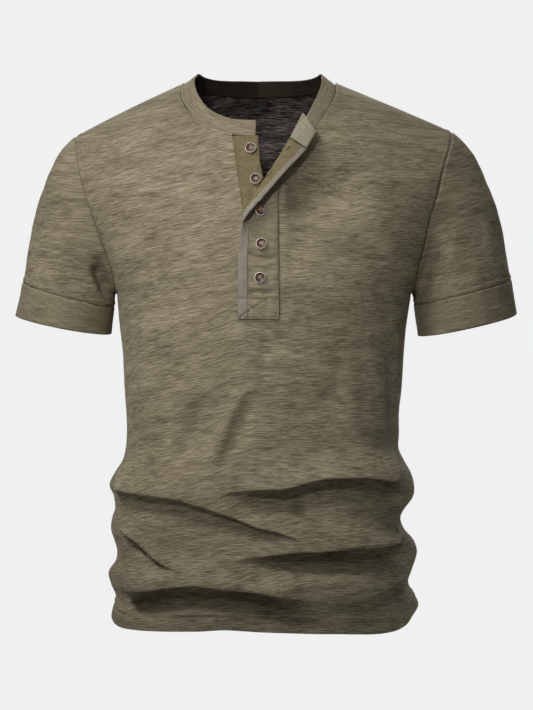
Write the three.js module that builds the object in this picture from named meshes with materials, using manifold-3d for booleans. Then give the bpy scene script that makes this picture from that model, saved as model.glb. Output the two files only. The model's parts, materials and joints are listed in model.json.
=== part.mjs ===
// Henley shirt, short sleeves, filled out as when worn, with no wearer.
// Millimetres, +Z up. The front faces -Y. The origin is midway between the two
// neck points of the shoulder seams; z = 0 is the height of those points.
// "right" and "left" are the wearer's, so the right side is at negative x.
import * as THREE from 'three';
import { mergeVertices } from 'three/addons/utils/BufferGeometryUtils.js';
import Module from 'manifold-3d';

const wasm = await Module();
wasm.setup();

// ---------------------------------------------------------------- sizes
const WALL = 2.0;            // body and sleeve cloth, as a wall
const SEAM = 0.3;            // gap between two pieces at a seam
const CUFF_WALL = 2.4;       // cuffs are double cloth
const BAND_WALL = 2.2;       // neckband is double cloth
const BAND_HEIGHT = 20.5;    // neckband, seam to top edge
const PLACKET_WALL = 1.8;    // overlap of the placket
const FACING_WALL = 1.0;     // twill facing and pale binding
const BINDING_WIDTH = 10;    // binding on the overlap's free edge
const STAND_WIDTH = 27;      // twill button stand under the opening
const ARMPIT_Z = -241;       // top of the side seams
const CHEST_Z = -230;        // fullest height of the chest
const SHOULDER_POWER = 1.7;  // roundness of the body over the shoulder
const FRONT_POWER = 2.3;     // roundness of a front section
const BACK_POWER = 2.2;      // roundness of a back section
const BUTTON_D = 12.5;
const BUTTON_T = 2.6;
const SLIT_FOOT_Z = -258;    // foot of the opening cut in the front panel

// Sections of the body, hem to armpit: half width on the wearer's right and
// left, depth of the front and of the back from the side seams.
const SECTIONS = [
  { z: -640, right: 166, left: 172, front: 112, back: 103 },
  { z: -612, right: 171, left: 176, front: 112, back: 103 },
  { z: -597, right: 168, left: 182, front: 114, back: 104 },
  { z: -586, right: 165.5, left: 178, front: 115, back: 104 },
  { z: -571, right: 171.5, left: 170.5, front: 117, back: 103 },
  { z: -558, right: 173.5, left: 174, front: 118, back: 101 },
  { z: -545, right: 165.5, left: 178.5, front: 116, back: 100 },
  { z: -534, right: 164.5, left: 180.5, front: 115, back: 100 },
  { z: -522, right: 168, left: 176, front: 115, back: 101 },
  { z: -510, right: 171.5, left: 165.5, front: 114, back: 101 },
  { z: -497, right: 170, left: 161, front: 114, back: 99 },
  { z: -486, right: 166.5, left: 166, front: 115, back: 97 },
  { z: -472, right: 168, left: 176, front: 117, back: 96 },
  { z: -459, right: 172.5, left: 177, front: 118, back: 95 },
  { z: -445, right: 166.5, left: 173, front: 116, back: 93 },
  { z: -431, right: 157.5, left: 165.5, front: 113, back: 91 },
  { z: -417, right: 154, left: 159.5, front: 111, back: 90 },
  { z: -400, right: 153, left: 160, front: 110, back: 89 },
  { z: -376, right: 154, left: 160, front: 110, back: 90 },
  { z: -348, right: 155.5, left: 163, front: 112, back: 93 },
  { z: -307, right: 157.5, left: 165.5, front: 115, back: 100 },
  { z: -279, right: 161, left: 168, front: 117, back: 105 },
  { z: ARMPIT_Z, right: 164.5, left: 173.5, front: 118, back: 109 },
];

// Armhole seams, armpit to shoulder tip: distance from the middle, and how far
// round the section the seam sits (0 at the side, 1 would be the middle).
const ARMHOLE = [
  { z: ARMPIT_Z, right: 164.5, left: 173.5, round: 0 },
  { z: -235, right: 165, left: 175, round: 0.2 },
  { z: -222, right: 167, left: 178, round: 0.31 },
  { z: -207, right: 170.8, left: 181.7, round: 0.39 },
  { z: -181, right: 180.3, left: 187.5, round: 0.48 },
  { z: -151, right: 190.8, left: 194, round: 0.56 },
  { z: -129, right: 198.5, left: 201, round: 0.61 },
  { z: -98, right: 206.7, left: 209, round: 0.66 },
  { z: -72, right: 211.5, left: 217, round: 0.7 },
  { z: -56, right: 211, left: 220, round: 0.72 },
];

// Shoulder seams: height at the neck point, fall per mm and extra fall.
const SHOULDER = {
  right: { neck: 86, top: 2.5, fall: 0.44, bend: 0.0004, tip: 211 },
  left: { neck: 86, top: 2.5, fall: 0.4, bend: 0.00015, tip: 220 },
};

// Hem edge: height along the front (at fractions of the half width) and back.
const HEM = [
  { f: -1, front: -607, back: -607 },
  { f: -0.86, front: -617, back: -609 },
  { f: -0.62, front: -620, back: -611 },
  { f: -0.3, front: -619, back: -612 },
  { f: -0.15, front: -617, back: -611 },
  { f: 0, front: -619, back: -610 },
  { f: 0.35, front: -622, back: -610 },
  { f: 0.62, front: -623.5, back: -609 },
  { f: 0.84, front: -617, back: -605 },
  { f: 1, front: -600, back: -600 },
];

// Large folds. Each runs from x0 to x1 through four heights; above its lip the
// cloth rolls out to a crest, below it turns under to a dip.
const FOLDS = {
  front: [
    { name: 'right_roll', x0: -168, x1: 64, za: -463, zb: -472, zc: -499, zd: -521, crest: 9, dip: 8, up: 34, down: 40, fade0: 0.04, fade1: 0.3 },
    { name: 'left_roll', x0: 162, x1: -48, za: -453, zb: -447, zc: -459, zd: -469, crest: 8, dip: 9, up: 34, down: 38, fade0: 0.05, fade1: 0.4 },
    { name: 'middle_roll', x0: 162, x1: -34, za: -521, zb: -525.5, zc: -532, zd: -548, crest: 10, dip: 9, up: 34, down: 36, fade0: 0.06, fade1: 0.4 },
    { name: 'side_nick', x0: -166, x1: -88, za: -508, zb: -522, zc: -541, zd: -549, crest: 3, dip: 4, up: 13, down: 15, fade0: 0.1, fade1: 0.45 },
    { name: 'lower_roll', x0: -156, x1: 84, za: -577, zb: -568, zc: -574, zd: -603, crest: 12, dip: 10, up: 40, down: 40, fade0: 0.14, fade1: 0.3 },
    { name: 'hem_roll', x0: 166, x1: 52, za: -562, zb: -573, zc: -578, zd: -584, crest: 6, dip: 5, up: 30, down: 32, fade0: 0.1, fade1: 0.4 },
  ],
  back: [
    { name: 'back_upper', x0: -166, x1: 70, za: -466, zb: -458, zc: -452, zd: -455, crest: 8, dip: 7, up: 36, down: 40, fade0: 0.05, fade1: 0.4 },
    { name: 'back_middle', x0: 168, x1: -80, za: -488, zb: -506, zc: -519, zd: -523, crest: 9, dip: 8, up: 36, down: 42, fade0: 0.05, fade1: 0.4 },
    { name: 'back_lower', x0: -162, x1: 100, za: -545, zb: -560, zc: -570, zd: -566, crest: 9, dip: 8, up: 38, down: 40, fade0: 0.08, fade1: 0.4 },
  ],
};

// Neckline seam on the front, from each shoulder neck point to the opening,
// and on the back.
const NECKLINE = {
  right: [
    { x: -87.5, z: 1.5 }, { x: -91.5, z: -11 }, { x: -84, z: -30 }, { x: -70, z: -45 },
    { x: -53, z: -55 }, { x: -33, z: -61.5 }, { x: -2, z: -64 },
  ],
  left: [
    { x: 87.5, z: 1.5 }, { x: 86.5, z: -13 }, { x: 79, z: -29 }, { x: 69, z: -45 }, { x: 57, z: -64 },
  ],
  back: [
    { x: -87.5, z: 1.5 }, { x: -76, z: -4 }, { x: -50, z: -8.5 }, { x: 0, z: -10.5 },
    { x: 50, z: -8.5 }, { x: 76, z: -4 }, { x: 87.5, z: 1.5 },
  ],
};

// The overlap of the placket, foot to top. The seam lies on the front panel,
// the strip turns back on itself at the roll, and the free edge stands off by
// lift. Low down roll and edge lie flat.
const OVERLAP = [
  { seamX: 20.8, seamZ: -270, rollX: -10, rollZ: -270, edgeX: -23.7, edgeZ: -270, lift: 0, bow: 0 },
  { seamX: 20.8, seamZ: -246, rollX: -10, rollZ: -246, edgeX: -23.7, edgeZ: -246, lift: 0, bow: 0 },
  { seamX: 20.6, seamZ: -206, rollX: -10, rollZ: -206, edgeX: -23.7, edgeZ: -206, lift: 0, bow: 0 },
  { seamX: 20.5, seamZ: -185, rollX: -12, rollZ: -186, edgeX: -22.5, edgeZ: -188, lift: 2, bow: 0.6 },
  { seamX: 20.3, seamZ: -166, rollX: -15, rollZ: -168, edgeX: -20.2, edgeZ: -172, lift: 6, bow: 1.6 },
  { seamX: 20, seamZ: -148, rollX: -17.3, rollZ: -155, edgeX: -15.2, edgeZ: -160, lift: 10, bow: 3 },
  { seamX: 20.5, seamZ: -132, rollX: -9.5, rollZ: -142, edgeX: -4, edgeZ: -146, lift: 12, bow: 4 },
  { seamX: 23, seamZ: -116, rollX: 3, rollZ: -122, edgeX: 11, edgeZ: -129, lift: 12, bow: 5 },
  { seamX: 30, seamZ: -99, rollX: 14.5, rollZ: -104, edgeX: 27.5, edgeZ: -110, lift: 12, bow: 5 },
  { seamX: 43, seamZ: -83, rollX: 24.5, rollZ: -87, edgeX: 40, edgeZ: -96.5, lift: 11, bow: 5 },
  { seamX: 52, seamZ: -66, rollX: 33.5, rollZ: -71.5, edgeX: 50, edgeZ: -85.5, lift: 10.5, bow: 5 },
];
// The neckband's turned end, above the overlap: bottom and top of the roll and
// of the free end.
const BAND_END = [
  { seamX: 53, seamZ: -64, rollX: 34.3, rollZ: -70.2, edgeX: 50.8, edgeZ: -84.2, lift: 10.5, bow: 5 },
  { seamX: 53, seamZ: -46, rollX: 48.5, rollZ: -42, edgeX: 61, edgeZ: -66.5, lift: 12, bow: 5 },
];

// Sleeves: the cuff seam and the sleeve end, outer and inner side, and depth.
const SLEEVES = {
  right: { side: -1, seamOut: [-272.6, -226.6], seamIn: [-167.5, -255], endOut: [-280, -264.5], endIn: [-171.5, -285.5], depth: 56, dip: 5 },
  left: { side: 1, seamOut: [288.7, -223], seamIn: [177, -251.5], endOut: [295, -262.5], endIn: [181.5, -287.5], depth: 57, dip: 5 },
};

const BUTTONS = [
  { name: 'button_1', x: -10.2, z: -78.5, on: 'stand' },
  { name: 'button_2', x: -4.6, z: -113.6, on: 'stand' },
  { name: 'button_3', x: 0.6, z: -150, on: 'overlap' },
  { name: 'button_4', x: 1.6, z: -187, on: 'overlap' },
  { name: 'button_5', x: 0.2, z: -224.5, on: 'overlap' },
];
const LABEL = { x: 3.4, width: 11, top: -13, length: 12, wall: 1.0 };

// Mesh steps
const FRONT_COLS = 24, FRONT_LOW_ROWS = 29, FRONT_ARM_ROWS = 9;
const BACK_COLS = 14, BACK_LOW_ROWS = 22, BACK_ARM_ROWS = 9;
const SLEEVE_ROWS = 6, CUFF_ROWS = 1;

const OLIVE = new THREE.MeshStandardMaterial({ color: 0x7a7258, roughness: 0.95, metalness: 0 });
const TWILL = new THREE.MeshStandardMaterial({ color: 0x7d7047, roughness: 0.9, metalness: 0 });
const PALE = new THREE.MeshStandardMaterial({ color: 0xa39a85, roughness: 0.95, metalness: 0 });
const HORN = new THREE.MeshStandardMaterial({ color: 0xa86f3c, roughness: 0.4, metalness: 0 });
const BLACK = new THREE.MeshStandardMaterial({ color: 0x141414, roughness: 0.8, metalness: 0 });

// ---------------------------------------------------------------- helpers
const clamp = (v, a, b) => Math.min(b, Math.max(a, v));
const lerp = (a, b, t) => a + (b - a) * t;
const smooth = (t) => { t = clamp(t, 0, 1); return t * t * (3 - 2 * t); };
const V = (x, y, z) => new THREE.Vector3(x, y, z);

// Smooth interpolation of one column of a table, sorted by another.
function track(rows, key, by = 'z') {
  const sorted = [...rows].sort((p, q) => p[by] - q[by]);
  const xs = sorted.map((r) => r[by]), ys = sorted.map((r) => r[key]);
  const n = xs.length;
  const slope = xs.map((_, i) => {
    const a = Math.max(0, i - 1), b = Math.min(n - 1, i + 1);
    return (ys[b] - ys[a]) / (xs[b] - xs[a]);
  });
  return (x) => {
    if (x <= xs[0]) return ys[0];
    if (x >= xs[n - 1]) return ys[n - 1];
    let i = 0;
    while (x > xs[i + 1]) i += 1;
    const h = xs[i + 1] - xs[i], t = (x - xs[i]) / h;
    const t2 = t * t, t3 = t2 * t;
    return (2 * t3 - 3 * t2 + 1) * ys[i] + (t3 - 2 * t2 + t) * h * slope[i]
      + (3 * t2 - 2 * t3) * ys[i + 1] + (t3 - t2) * h * slope[i + 1];
  };
}

// A smooth path through the rows of a table, at u from 0 to 1.
function path(rows, keys) {
  const numbered = rows.map((r, i) => ({ ...r, at: i / (rows.length - 1) }));
  const tracks = keys.map((k) => track(numbered, k, 'at'));
  return (u) => tracks.map((f) => f(u));
}

// A wall from a grid of outer points and outward normals. closed joins the
// last column to the first.
function shell(P, N, wall, closed = false) {
  const nu = P.length, nv = P[0].length;
  const pos = [], idx = [];
  for (let i = 0; i < nu; i += 1) for (let j = 0; j < nv; j += 1) pos.push(...P[i][j].toArray());
  for (let i = 0; i < nu; i += 1) {
    for (let j = 0; j < nv; j += 1) pos.push(...P[i][j].clone().addScaledVector(N[i][j], -wall).toArray());
  }
  const o = (i, j) => (i % nu) * nv + j, q = (i, j) => nu * nv + (i % nu) * nv + j;
  const quad = (a, b, c, d) => idx.push(a, b, c, a, c, d);
  const last = closed ? nu : nu - 1;
  for (let i = 0; i < last; i += 1) {
    for (let j = 0; j < nv - 1; j += 1) {
      quad(o(i, j), o(i + 1, j), o(i + 1, j + 1), o(i, j + 1));
      quad(q(i, j), q(i, j + 1), q(i + 1, j + 1), q(i + 1, j));
    }
    quad(o(i, 0), q(i, 0), q(i + 1, 0), o(i + 1, 0));
    quad(o(i, nv - 1), o(i + 1, nv - 1), q(i + 1, nv - 1), q(i, nv - 1));
  }
  if (!closed) {
    for (let j = 0; j < nv - 1; j += 1) {
      quad(o(0, j), o(0, j + 1), q(0, j + 1), q(0, j));
      quad(o(nu - 1, j), q(nu - 1, j), q(nu - 1, j + 1), o(nu - 1, j + 1));
    }
  }
  return outward(indexed(pos, idx));
}

function indexed(pos, idx) {
  const g = new THREE.BufferGeometry();
  g.setAttribute('position', new THREE.Float32BufferAttribute(pos, 3));
  g.setIndex(idx);
  return g;
}

function outward(g) {
  const p = g.attributes.position, k = g.index.array;
  const a = V(), b = V(), c = V();
  let volume = 0;
  for (let i = 0; i < k.length; i += 3) {
    a.fromBufferAttribute(p, k[i]); b.fromBufferAttribute(p, k[i + 1]); c.fromBufferAttribute(p, k[i + 2]);
    volume += a.dot(b.cross(c));
  }
  if (volume < 0) for (let i = 0; i < k.length; i += 3) { const t = k[i]; k[i] = k[i + 1]; k[i + 1] = t; }
  return g;
}

// Normals of a grid of points. sign turns them outward.
function normals(P, sign, closed = false) {
  const nu = P.length, nv = P[0].length;
  const at = (i, j) => P[closed ? (i + nu) % nu : clamp(i, 0, nu - 1)][clamp(j, 0, nv - 1)];
  return P.map((col, i) => col.map((_, j) => {
    const du = at(i + 1, j).clone().sub(at(i - 1, j));
    const dv = at(i, j + 1).clone().sub(at(i, j - 1));
    return du.cross(dv).normalize().multiplyScalar(sign);
  }));
}

function solid(geometry) {
  const g = geometry.clone();
  g.deleteAttribute('normal');
  g.deleteAttribute('uv');
  const m = mergeVertices(g, 1e-4);
  return new wasm.Manifold(new wasm.Mesh({
    numProp: 3,
    vertProperties: Float32Array.from(m.attributes.position.array),
    triVerts: Uint32Array.from(m.index.array),
  }));
}

function geometryOf(manifold) {
  const mesh = manifold.getMesh();
  return indexed(Array.from(mesh.vertProperties), Array.from(mesh.triVerts));
}

function prism(outline, y0, y1) {
  const shape = new THREE.Shape(outline.map(([x, z]) => new THREE.Vector2(x, z)));
  const g = new THREE.ExtrudeGeometry(shape, { depth: y1 - y0, bevelEnabled: false, curveSegments: 1 });
  // the shape's y axis becomes z, and the depth runs along y
  const p = g.attributes.position;
  for (let i = 0; i < p.count; i += 1) p.setXYZ(i, p.getX(i), y0 + p.getZ(i), p.getY(i));
  g.deleteAttribute('normal');
  g.deleteAttribute('uv');
  return solid(outward(mergeVertices(g, 1e-4)));
}

// ---------------------------------------------------------------- body surface
const section = {
  right: track(SECTIONS, 'right'), left: track(SECTIONS, 'left'),
  front: track(SECTIONS, 'front'), back: track(SECTIONS, 'back'),
};
const armhole = { right: track(ARMHOLE, 'right'), left: track(ARMHOLE, 'left'), round: track(ARMHOLE, 'round') };
const hemFront = track(HEM, 'front', 'f'), hemBack = track(HEM, 'back', 'f');

const sideOf = (x) => (x < 0 ? 'right' : 'left');
const edge = (side, z) => (z <= ARMPIT_Z ? section[side](z) : armhole[side](z));

function shoulderZ(x) {
  const s = SHOULDER[sideOf(x)], run = Math.abs(x) - s.neck;
  return s.top - s.fall * run - (run > 0 ? s.bend * run * run : 0);
}

function foldHeight(face, x, z) {
  let height = 0;
  for (const f of FOLDS[face]) {
    const u = (x - f.x0) / (f.x1 - f.x0);
    if (u <= 0 || u >= 1) continue;
    const w = u * 3, i = Math.min(2, Math.floor(w)), t = w - i;
    const k = [f.za, f.zb, f.zc, f.zd];
    const s0 = (k[Math.min(3, i + 1)] - k[Math.max(0, i - 1)]) / (i === 0 ? 1 : 2);
    const s1 = (k[Math.min(3, i + 2)] - k[i]) / (i === 2 ? 1 : 2);
    const t2 = t * t, t3 = t2 * t;
    const lip = (2 * t3 - 3 * t2 + 1) * k[i] + (t3 - 2 * t2 + t) * s0 + (3 * t2 - 2 * t3) * k[i + 1] + (t3 - t2) * s1;
    const along = smooth(u / f.fade0) * smooth((1 - u) / f.fade1);
    const q = z - lip, turn = 15;
    let h = 0;
    if (q >= 0) h = f.crest * smooth(1 - q / f.up);
    else if (q > -turn) h = lerp(f.crest, -f.dip, smooth(-q / turn));
    else h = -f.dip * smooth(1 - (-q - turn) / (f.down - turn));
    height += h * along;
  }
  return height;
}

// A point of the body's outer surface at x and z.
function body(face, x, z) {
  const front = face === 'front', n = front ? FRONT_POWER : BACK_POWER, dir = front ? -1 : 1;
  const side = sideOf(x);
  let a = edge(side, z);
  if (z > ARMPIT_Z) a /= (1 - armhole.round(z) ** n) ** (1 / n);
  const f = clamp(Math.abs(x) / a, 0, 1);
  const d = section[front ? 'front' : 'back'](Math.min(z, CHEST_Z));
  const top = shoulderZ(x);
  const t = clamp((z - CHEST_Z) / (top - CHEST_Z), 0, 1);
  const r = (1 - t ** SHOULDER_POWER) ** (1 / SHOULDER_POWER);
  const y = d * (1 - f ** n) ** (1 / n) * r;
  const h = z < -400 ? foldHeight(face, x, z) * smooth((1 - f) / 0.08) : 0;
  const nx = x / (a * a), ny = y / (d * d), len = Math.hypot(nx, ny) || 1;
  return V(x + (nx / len) * h, dir * (y + (ny / len) * h + SEAM / 2), z);
}

function acrossAt(z) { return lerp(1.5, 0.85, smooth((z - ARMPIT_Z) / 70)); }

// The armhole's wall direction, the same for the body and the sleeve.
function armholeWall(sign, y, z) {
  const mid = -150, halfZ = 93, halfY = 56;
  const a = Math.atan2(Math.abs(y) / halfY, (z - mid) / halfZ);
  return V(sign * (0.33 + 0.33 * Math.cos(a)), Math.sign(y) * Math.sin(a), Math.cos(a)).normalize();
}

// Heights of the armhole points: near the armpit and the shoulder they close up.
const armT = (j, rows) => (1 - Math.cos((Math.PI * j) / rows)) / 2;

function armholePoint(face, sign, j, rows) {
  const side = sign < 0 ? 'right' : 'left';
  const tip = SHOULDER[side].tip * sign;
  const z = lerp(ARMPIT_Z, shoulderZ(tip), armT(j, rows));
  const p = body(face, sign * edge(side, z), z);
  if (j === 0 || j === rows) p.y = (face === 'front' ? -1 : 1) * SEAM / 2;
  return p;
}

function panel(face, cols, lowRows, armRows) {
  const hem = face === 'front' ? hemFront : hemBack;
  const P = [], N = [];
  for (let i = 0; i <= cols; i += 1) {
    const s = (2 * i) / cols - 1, sign = Math.sign(s) || 1, side = s < 0 ? 'right' : 'left';
    const column = [];
    const xAt = (z) => sign * edge(side, z) * Math.sin(Math.abs(s) * acrossAt(z)) / Math.sin(acrossAt(z));
    for (let j = 0; j <= lowRows; j += 1) {
      // rows crowd where the large folds are
      const v = j / lowRows, w = v < 0.72 ? (v / 0.72) * 0.55 : lerp(0.55, 1, (v - 0.72) / 0.28);
      const z0 = hem(clamp(s, -1, 1));
      const z = lerp(z0, ARMPIT_Z, w);
      const p = body(face, xAt(z), z);
      column.push(p);
    }
    const topX = sign * SHOULDER[side].tip * Math.sin(Math.abs(s) * acrossAt(0)) / Math.sin(acrossAt(0));
    const topZ = shoulderZ(topX);
    for (let j = 1; j <= armRows; j += 1) {
      if (Math.abs(s) === 1) { column.push(armholePoint(face, sign, j, armRows)); continue; }
      const z = lerp(ARMPIT_Z, topZ, armT(j, armRows));
      const x = j === armRows ? topX : xAt(Math.min(z, shoulderZ(sign * SHOULDER[side].tip)));
      const p = body(face, x, Math.min(z, shoulderZ(x)));
      if (j === armRows) p.y = (face === 'front' ? -1 : 1) * SEAM / 2;
      column.push(p);
    }
    P.push(column);
  }
  const raw = normals(P, face === 'front' ? 1 : -1);
  for (let i = 0; i <= cols; i += 1) {
    N.push(raw[i].map((n, j) => {
      const m = n.clone();
      const rows = lowRows + armRows;
      if ((i === 0 || i === cols) && j >= lowRows) {
        const p = P[i][j];
        const w = armholeWall(Math.sign(p.x), p.y, p.z);
        if (j === lowRows || j === rows) w.y = 0;
        return w.normalize();
      }
      if (i === 0 || i === cols || j === rows) m.y = 0;
      return m.normalize();
    }));
  }
  return { P, N };
}

// ---------------------------------------------------------------- neckline
const neckCurve = (rows) => path(rows, ['x', 'z']);
const neck = { right: neckCurve(NECKLINE.right), left: neckCurve(NECKLINE.left), back: neckCurve(NECKLINE.back) };

function sampled(curve, steps, u0 = 0, u1 = 1) {
  return Array.from({ length: steps + 1 }, (_, i) => curve(lerp(u0, u1, i / steps)));
}

// What is cut from the front: the neck and the opening under the placket.
const standEdge = (z) => lerp(-30, -19, smooth((-62 - z) / 96));
const overlapSeam = track(OVERLAP, 'seamX', 'seamZ');

function frontCut() {
  const outline = [[-87.5, 60], ...sampled(neck.right, 26, 0, 0.84)];
  for (const z of [-64, -75, -100, -130, -160, -200, SLIT_FOOT_Z]) outline.push([standEdge(z), z]);
  for (const z of [SLIT_FOOT_Z, -200, -160, -130, -115, -100, -83, -70]) outline.push([overlapSeam(z) - 2.2, z]);
  outline.push(...sampled(neck.left, 20).reverse(), [87.5, 60]);
  return prism(outline, -220, 0.01);
}

function backCut() {
  return prism([[-87.5, 60], ...sampled(neck.back, 32), [87.5, 60]], -0.01, 220);
}

// ---------------------------------------------------------------- placket
// Outer surface of the front, with a distance out from it.
function onFront(x, z, out) {
  const p = body('front', x, z);
  const e = 1.5;
  const dx = body('front', x + e, z).sub(body('front', x - e, z));
  const dz = body('front', x, z + e).sub(body('front', x, z - e));
  const n = dx.cross(dz).normalize();
  if (n.y > 0) n.negate();
  return { p: p.addScaledVector(n, out), n };
}

const OUT = 0.35 + PLACKET_WALL;      // the overlap's outer face lies this far out

// One row of the overlap's outer face, seam to free edge. The strip is a
// smooth line through the seam, the roll and the free edge.
function overlapRow(r, steps, start = null) {
  const s = start || onFront(r.seamX, r.seamZ, OUT).p;
  const m = onFront(r.rollX, r.rollZ, OUT + r.lift * 0.45).p;
  const e = onFront(r.edgeX, r.edgeZ, OUT + r.lift).p;
  const turn = smooth(r.lift / 9);
  const a1 = s.clone().lerp(m, 0.62); a1.y = lerp(a1.y, onFront(lerp(r.seamX, r.rollX, 0.8), r.rollZ, OUT).p.y, turn);
  const out = V(0, -1, 0);
  const flat1 = m.clone().addScaledVector(s.clone().sub(m).normalize(), 6);
  const flat2 = m.clone().addScaledVector(e.clone().sub(m).normalize(), 4);
  const c1 = flat1.lerp(m.clone().addScaledVector(out, -r.bow), turn);
  const c2 = flat2.lerp(m.clone().addScaledVector(out, r.bow), turn);
  const a2 = m.clone().lerp(e, 0.62); a2.y = lerp(a2.y, e.y, turn);
  const row = [];
  const bezier = (p0, p1, p2, p3, t) => {
    const w = 1 - t;
    return p0.clone().multiplyScalar(w * w * w).addScaledVector(p1, 3 * w * w * t)
      .addScaledVector(p2, 3 * w * t * t).addScaledVector(p3, t * t * t);
  };
  const half = steps / 2;
  for (let i = 0; i < half; i += 1) row.push(bezier(s, a1, c1, m, i / half));
  for (let i = 0; i <= half; i += 1) row.push(bezier(m, c2, a2, e, i / half));
  return row;
}

const overlapPath = path(OVERLAP, Object.keys(OVERLAP[0]));
function overlapAt(u) {
  const values = overlapPath(u);
  return Object.fromEntries(Object.keys(OVERLAP[0]).map((k, i) => [k, values[i]]));
}

function overlapGrid(steps, u0, u1, rows) {
  const P = [];
  for (let j = 0; j <= rows; j += 1) P.push(overlapRow(overlapAt(lerp(u0, u1, j / rows)), steps));
  return P;
}

function overlapPieces() {
  const steps = 8, rows = 20;
  const P = overlapGrid(steps, 0, 1, rows);
  const N = normals(P, 1);
  if (N[0][0].y > 0) N.forEach((row) => row.forEach((n) => n.negate()));
  const placket = shell(P, N, PLACKET_WALL);

  // binding: on the outer face, along the free edge, to just under the neckband
  const B = [], BN = [];
  for (let j = 3; j <= rows; j += 1) {
    const row = [], nrow = [];
    const src = j < rows ? P[j] : P[j].map((p, i) => p.clone().lerp(P[j - 1][i], 0.2));
    for (let k = 0; k <= 5; k += 1) {
      // walk back from the free edge along the strip
      let run = (BINDING_WIDTH * k) / 5, i = steps;
      while (i > 1 && run > src[i].distanceTo(src[i - 1])) { run -= src[i].distanceTo(src[i - 1]); i -= 1; }
      const t = clamp(run / src[i].distanceTo(src[i - 1]), 0, 1);
      const n = N[j][i].clone().lerp(N[j][i - 1], t).normalize();
      row.push(src[i].clone().lerp(src[i - 1], t).addScaledVector(n, SEAM + 0.55 + FACING_WALL));
      nrow.push(n);
    }
    B.push(row); BN.push(nrow);
  }
  const binding = shell(B, BN, FACING_WALL);

  // facing: on the inner face, from just behind the roll to the free edge
  const F = [], FN = [];
  for (let j = 10; j <= rows; j += 1) {
    const row = [], nrow = [];
    for (let i = steps / 2 - 1; i <= steps; i += 1) {
      const n = N[j][i].clone().negate();
      const src = j < rows ? P[j][i] : P[j][i].clone().lerp(P[j - 1][i], 0.2);
      row.push(src.clone().addScaledVector(n, PLACKET_WALL + SEAM + FACING_WALL));
      nrow.push(n);
    }
    F.push(row); FN.push(nrow);
  }
  const facing = shell(F, FN, FACING_WALL);
  return { placket, binding, facing };
}

function standPiece() {
  // the button stand lies in the opening, level with the panel
  const rows = 10, cols = 3, P = [], N = [];
  for (let j = 0; j <= rows; j += 1) {
    const z = lerp(SLIT_FOOT_Z + 1.5, -65.2, j / rows);
    const row = [], nrow = [];
    for (let i = 0; i <= cols; i += 1) {
      const x = standEdge(z) + 0.6 + (STAND_WIDTH * i) / cols;
      const q = onFront(x, z, -0.4);
      row.push(q.p); nrow.push(q.n);
    }
    P.push(row); N.push(nrow);
  }
  return shell(P, N, PLACKET_WALL);
}

// ---------------------------------------------------------------- neckband
function neckbandPiece() {
  const bottom = [];     // {p, up} along the seam, wearer's right opening to left
  const gap = 0.45;
  const add = (face, x, z) => {
    const c = V(0, -12, z);
    const p = body(face, x, z);
    const inward = V(c.x - p.x, c.y - p.y, 0).normalize();
    const q = V(p.x, p.y, p.z).addScaledVector(inward, Math.abs(x) > 78 ? gap * 2.4 : gap);
    q.z += face === 'back' || Math.abs(x) < 82 ? 1.6 : 0;
    const side = Math.abs(inward.x);
    const lean = THREE.MathUtils.degToRad(24 + 27 * side * side);
    const up = inward.clone().multiplyScalar(Math.sin(lean)).add(V(0, 0, Math.cos(lean)));
    bottom.push({ p: q, up });
  };
  const R = sampled(neck.right, 13, 0.985, 0.02);
  for (const [x, z] of R) add('front', x, z);
  const Bk = sampled(neck.back, 16, 0.03, 0.97);
  for (const [x, z] of Bk) add('back', x, z);
  const L = sampled(neck.left, 9, 0.03, 0.93);
  for (const [x, z] of L) add('front', x, z);

  const levels = 3, P = [];
  for (const { p, up } of bottom) {
    const col = [];
    for (let k = 0; k <= levels; k += 1) col.push(p.clone().addScaledVector(up, (BAND_HEIGHT * k) / levels));
    P.push(col);
  }
  // the turned end: from the last column to the roll, round it, and back
  const last = P[P.length - 1];
  const steps = 8, turned = Array.from({ length: steps }, () => []);
  for (let k = 0; k <= levels; k += 1) {
    const [low, high] = BAND_END;
    const r = Object.fromEntries(Object.keys(low).map((key) => [key, lerp(low[key], high[key], k / levels)]));
    const row = overlapRow(r, steps, last[k]);
    for (let i = 1; i <= steps; i += 1) turned[i - 1].push(row[i]);
  }
  P.push(...turned);
  const N = normals(P, 1);
  const probe = N[3][1];
  if (probe.y > 0) N.forEach((col) => col.forEach((n) => n.negate()));
  return shell(P, N, BAND_WALL);
}

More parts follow.
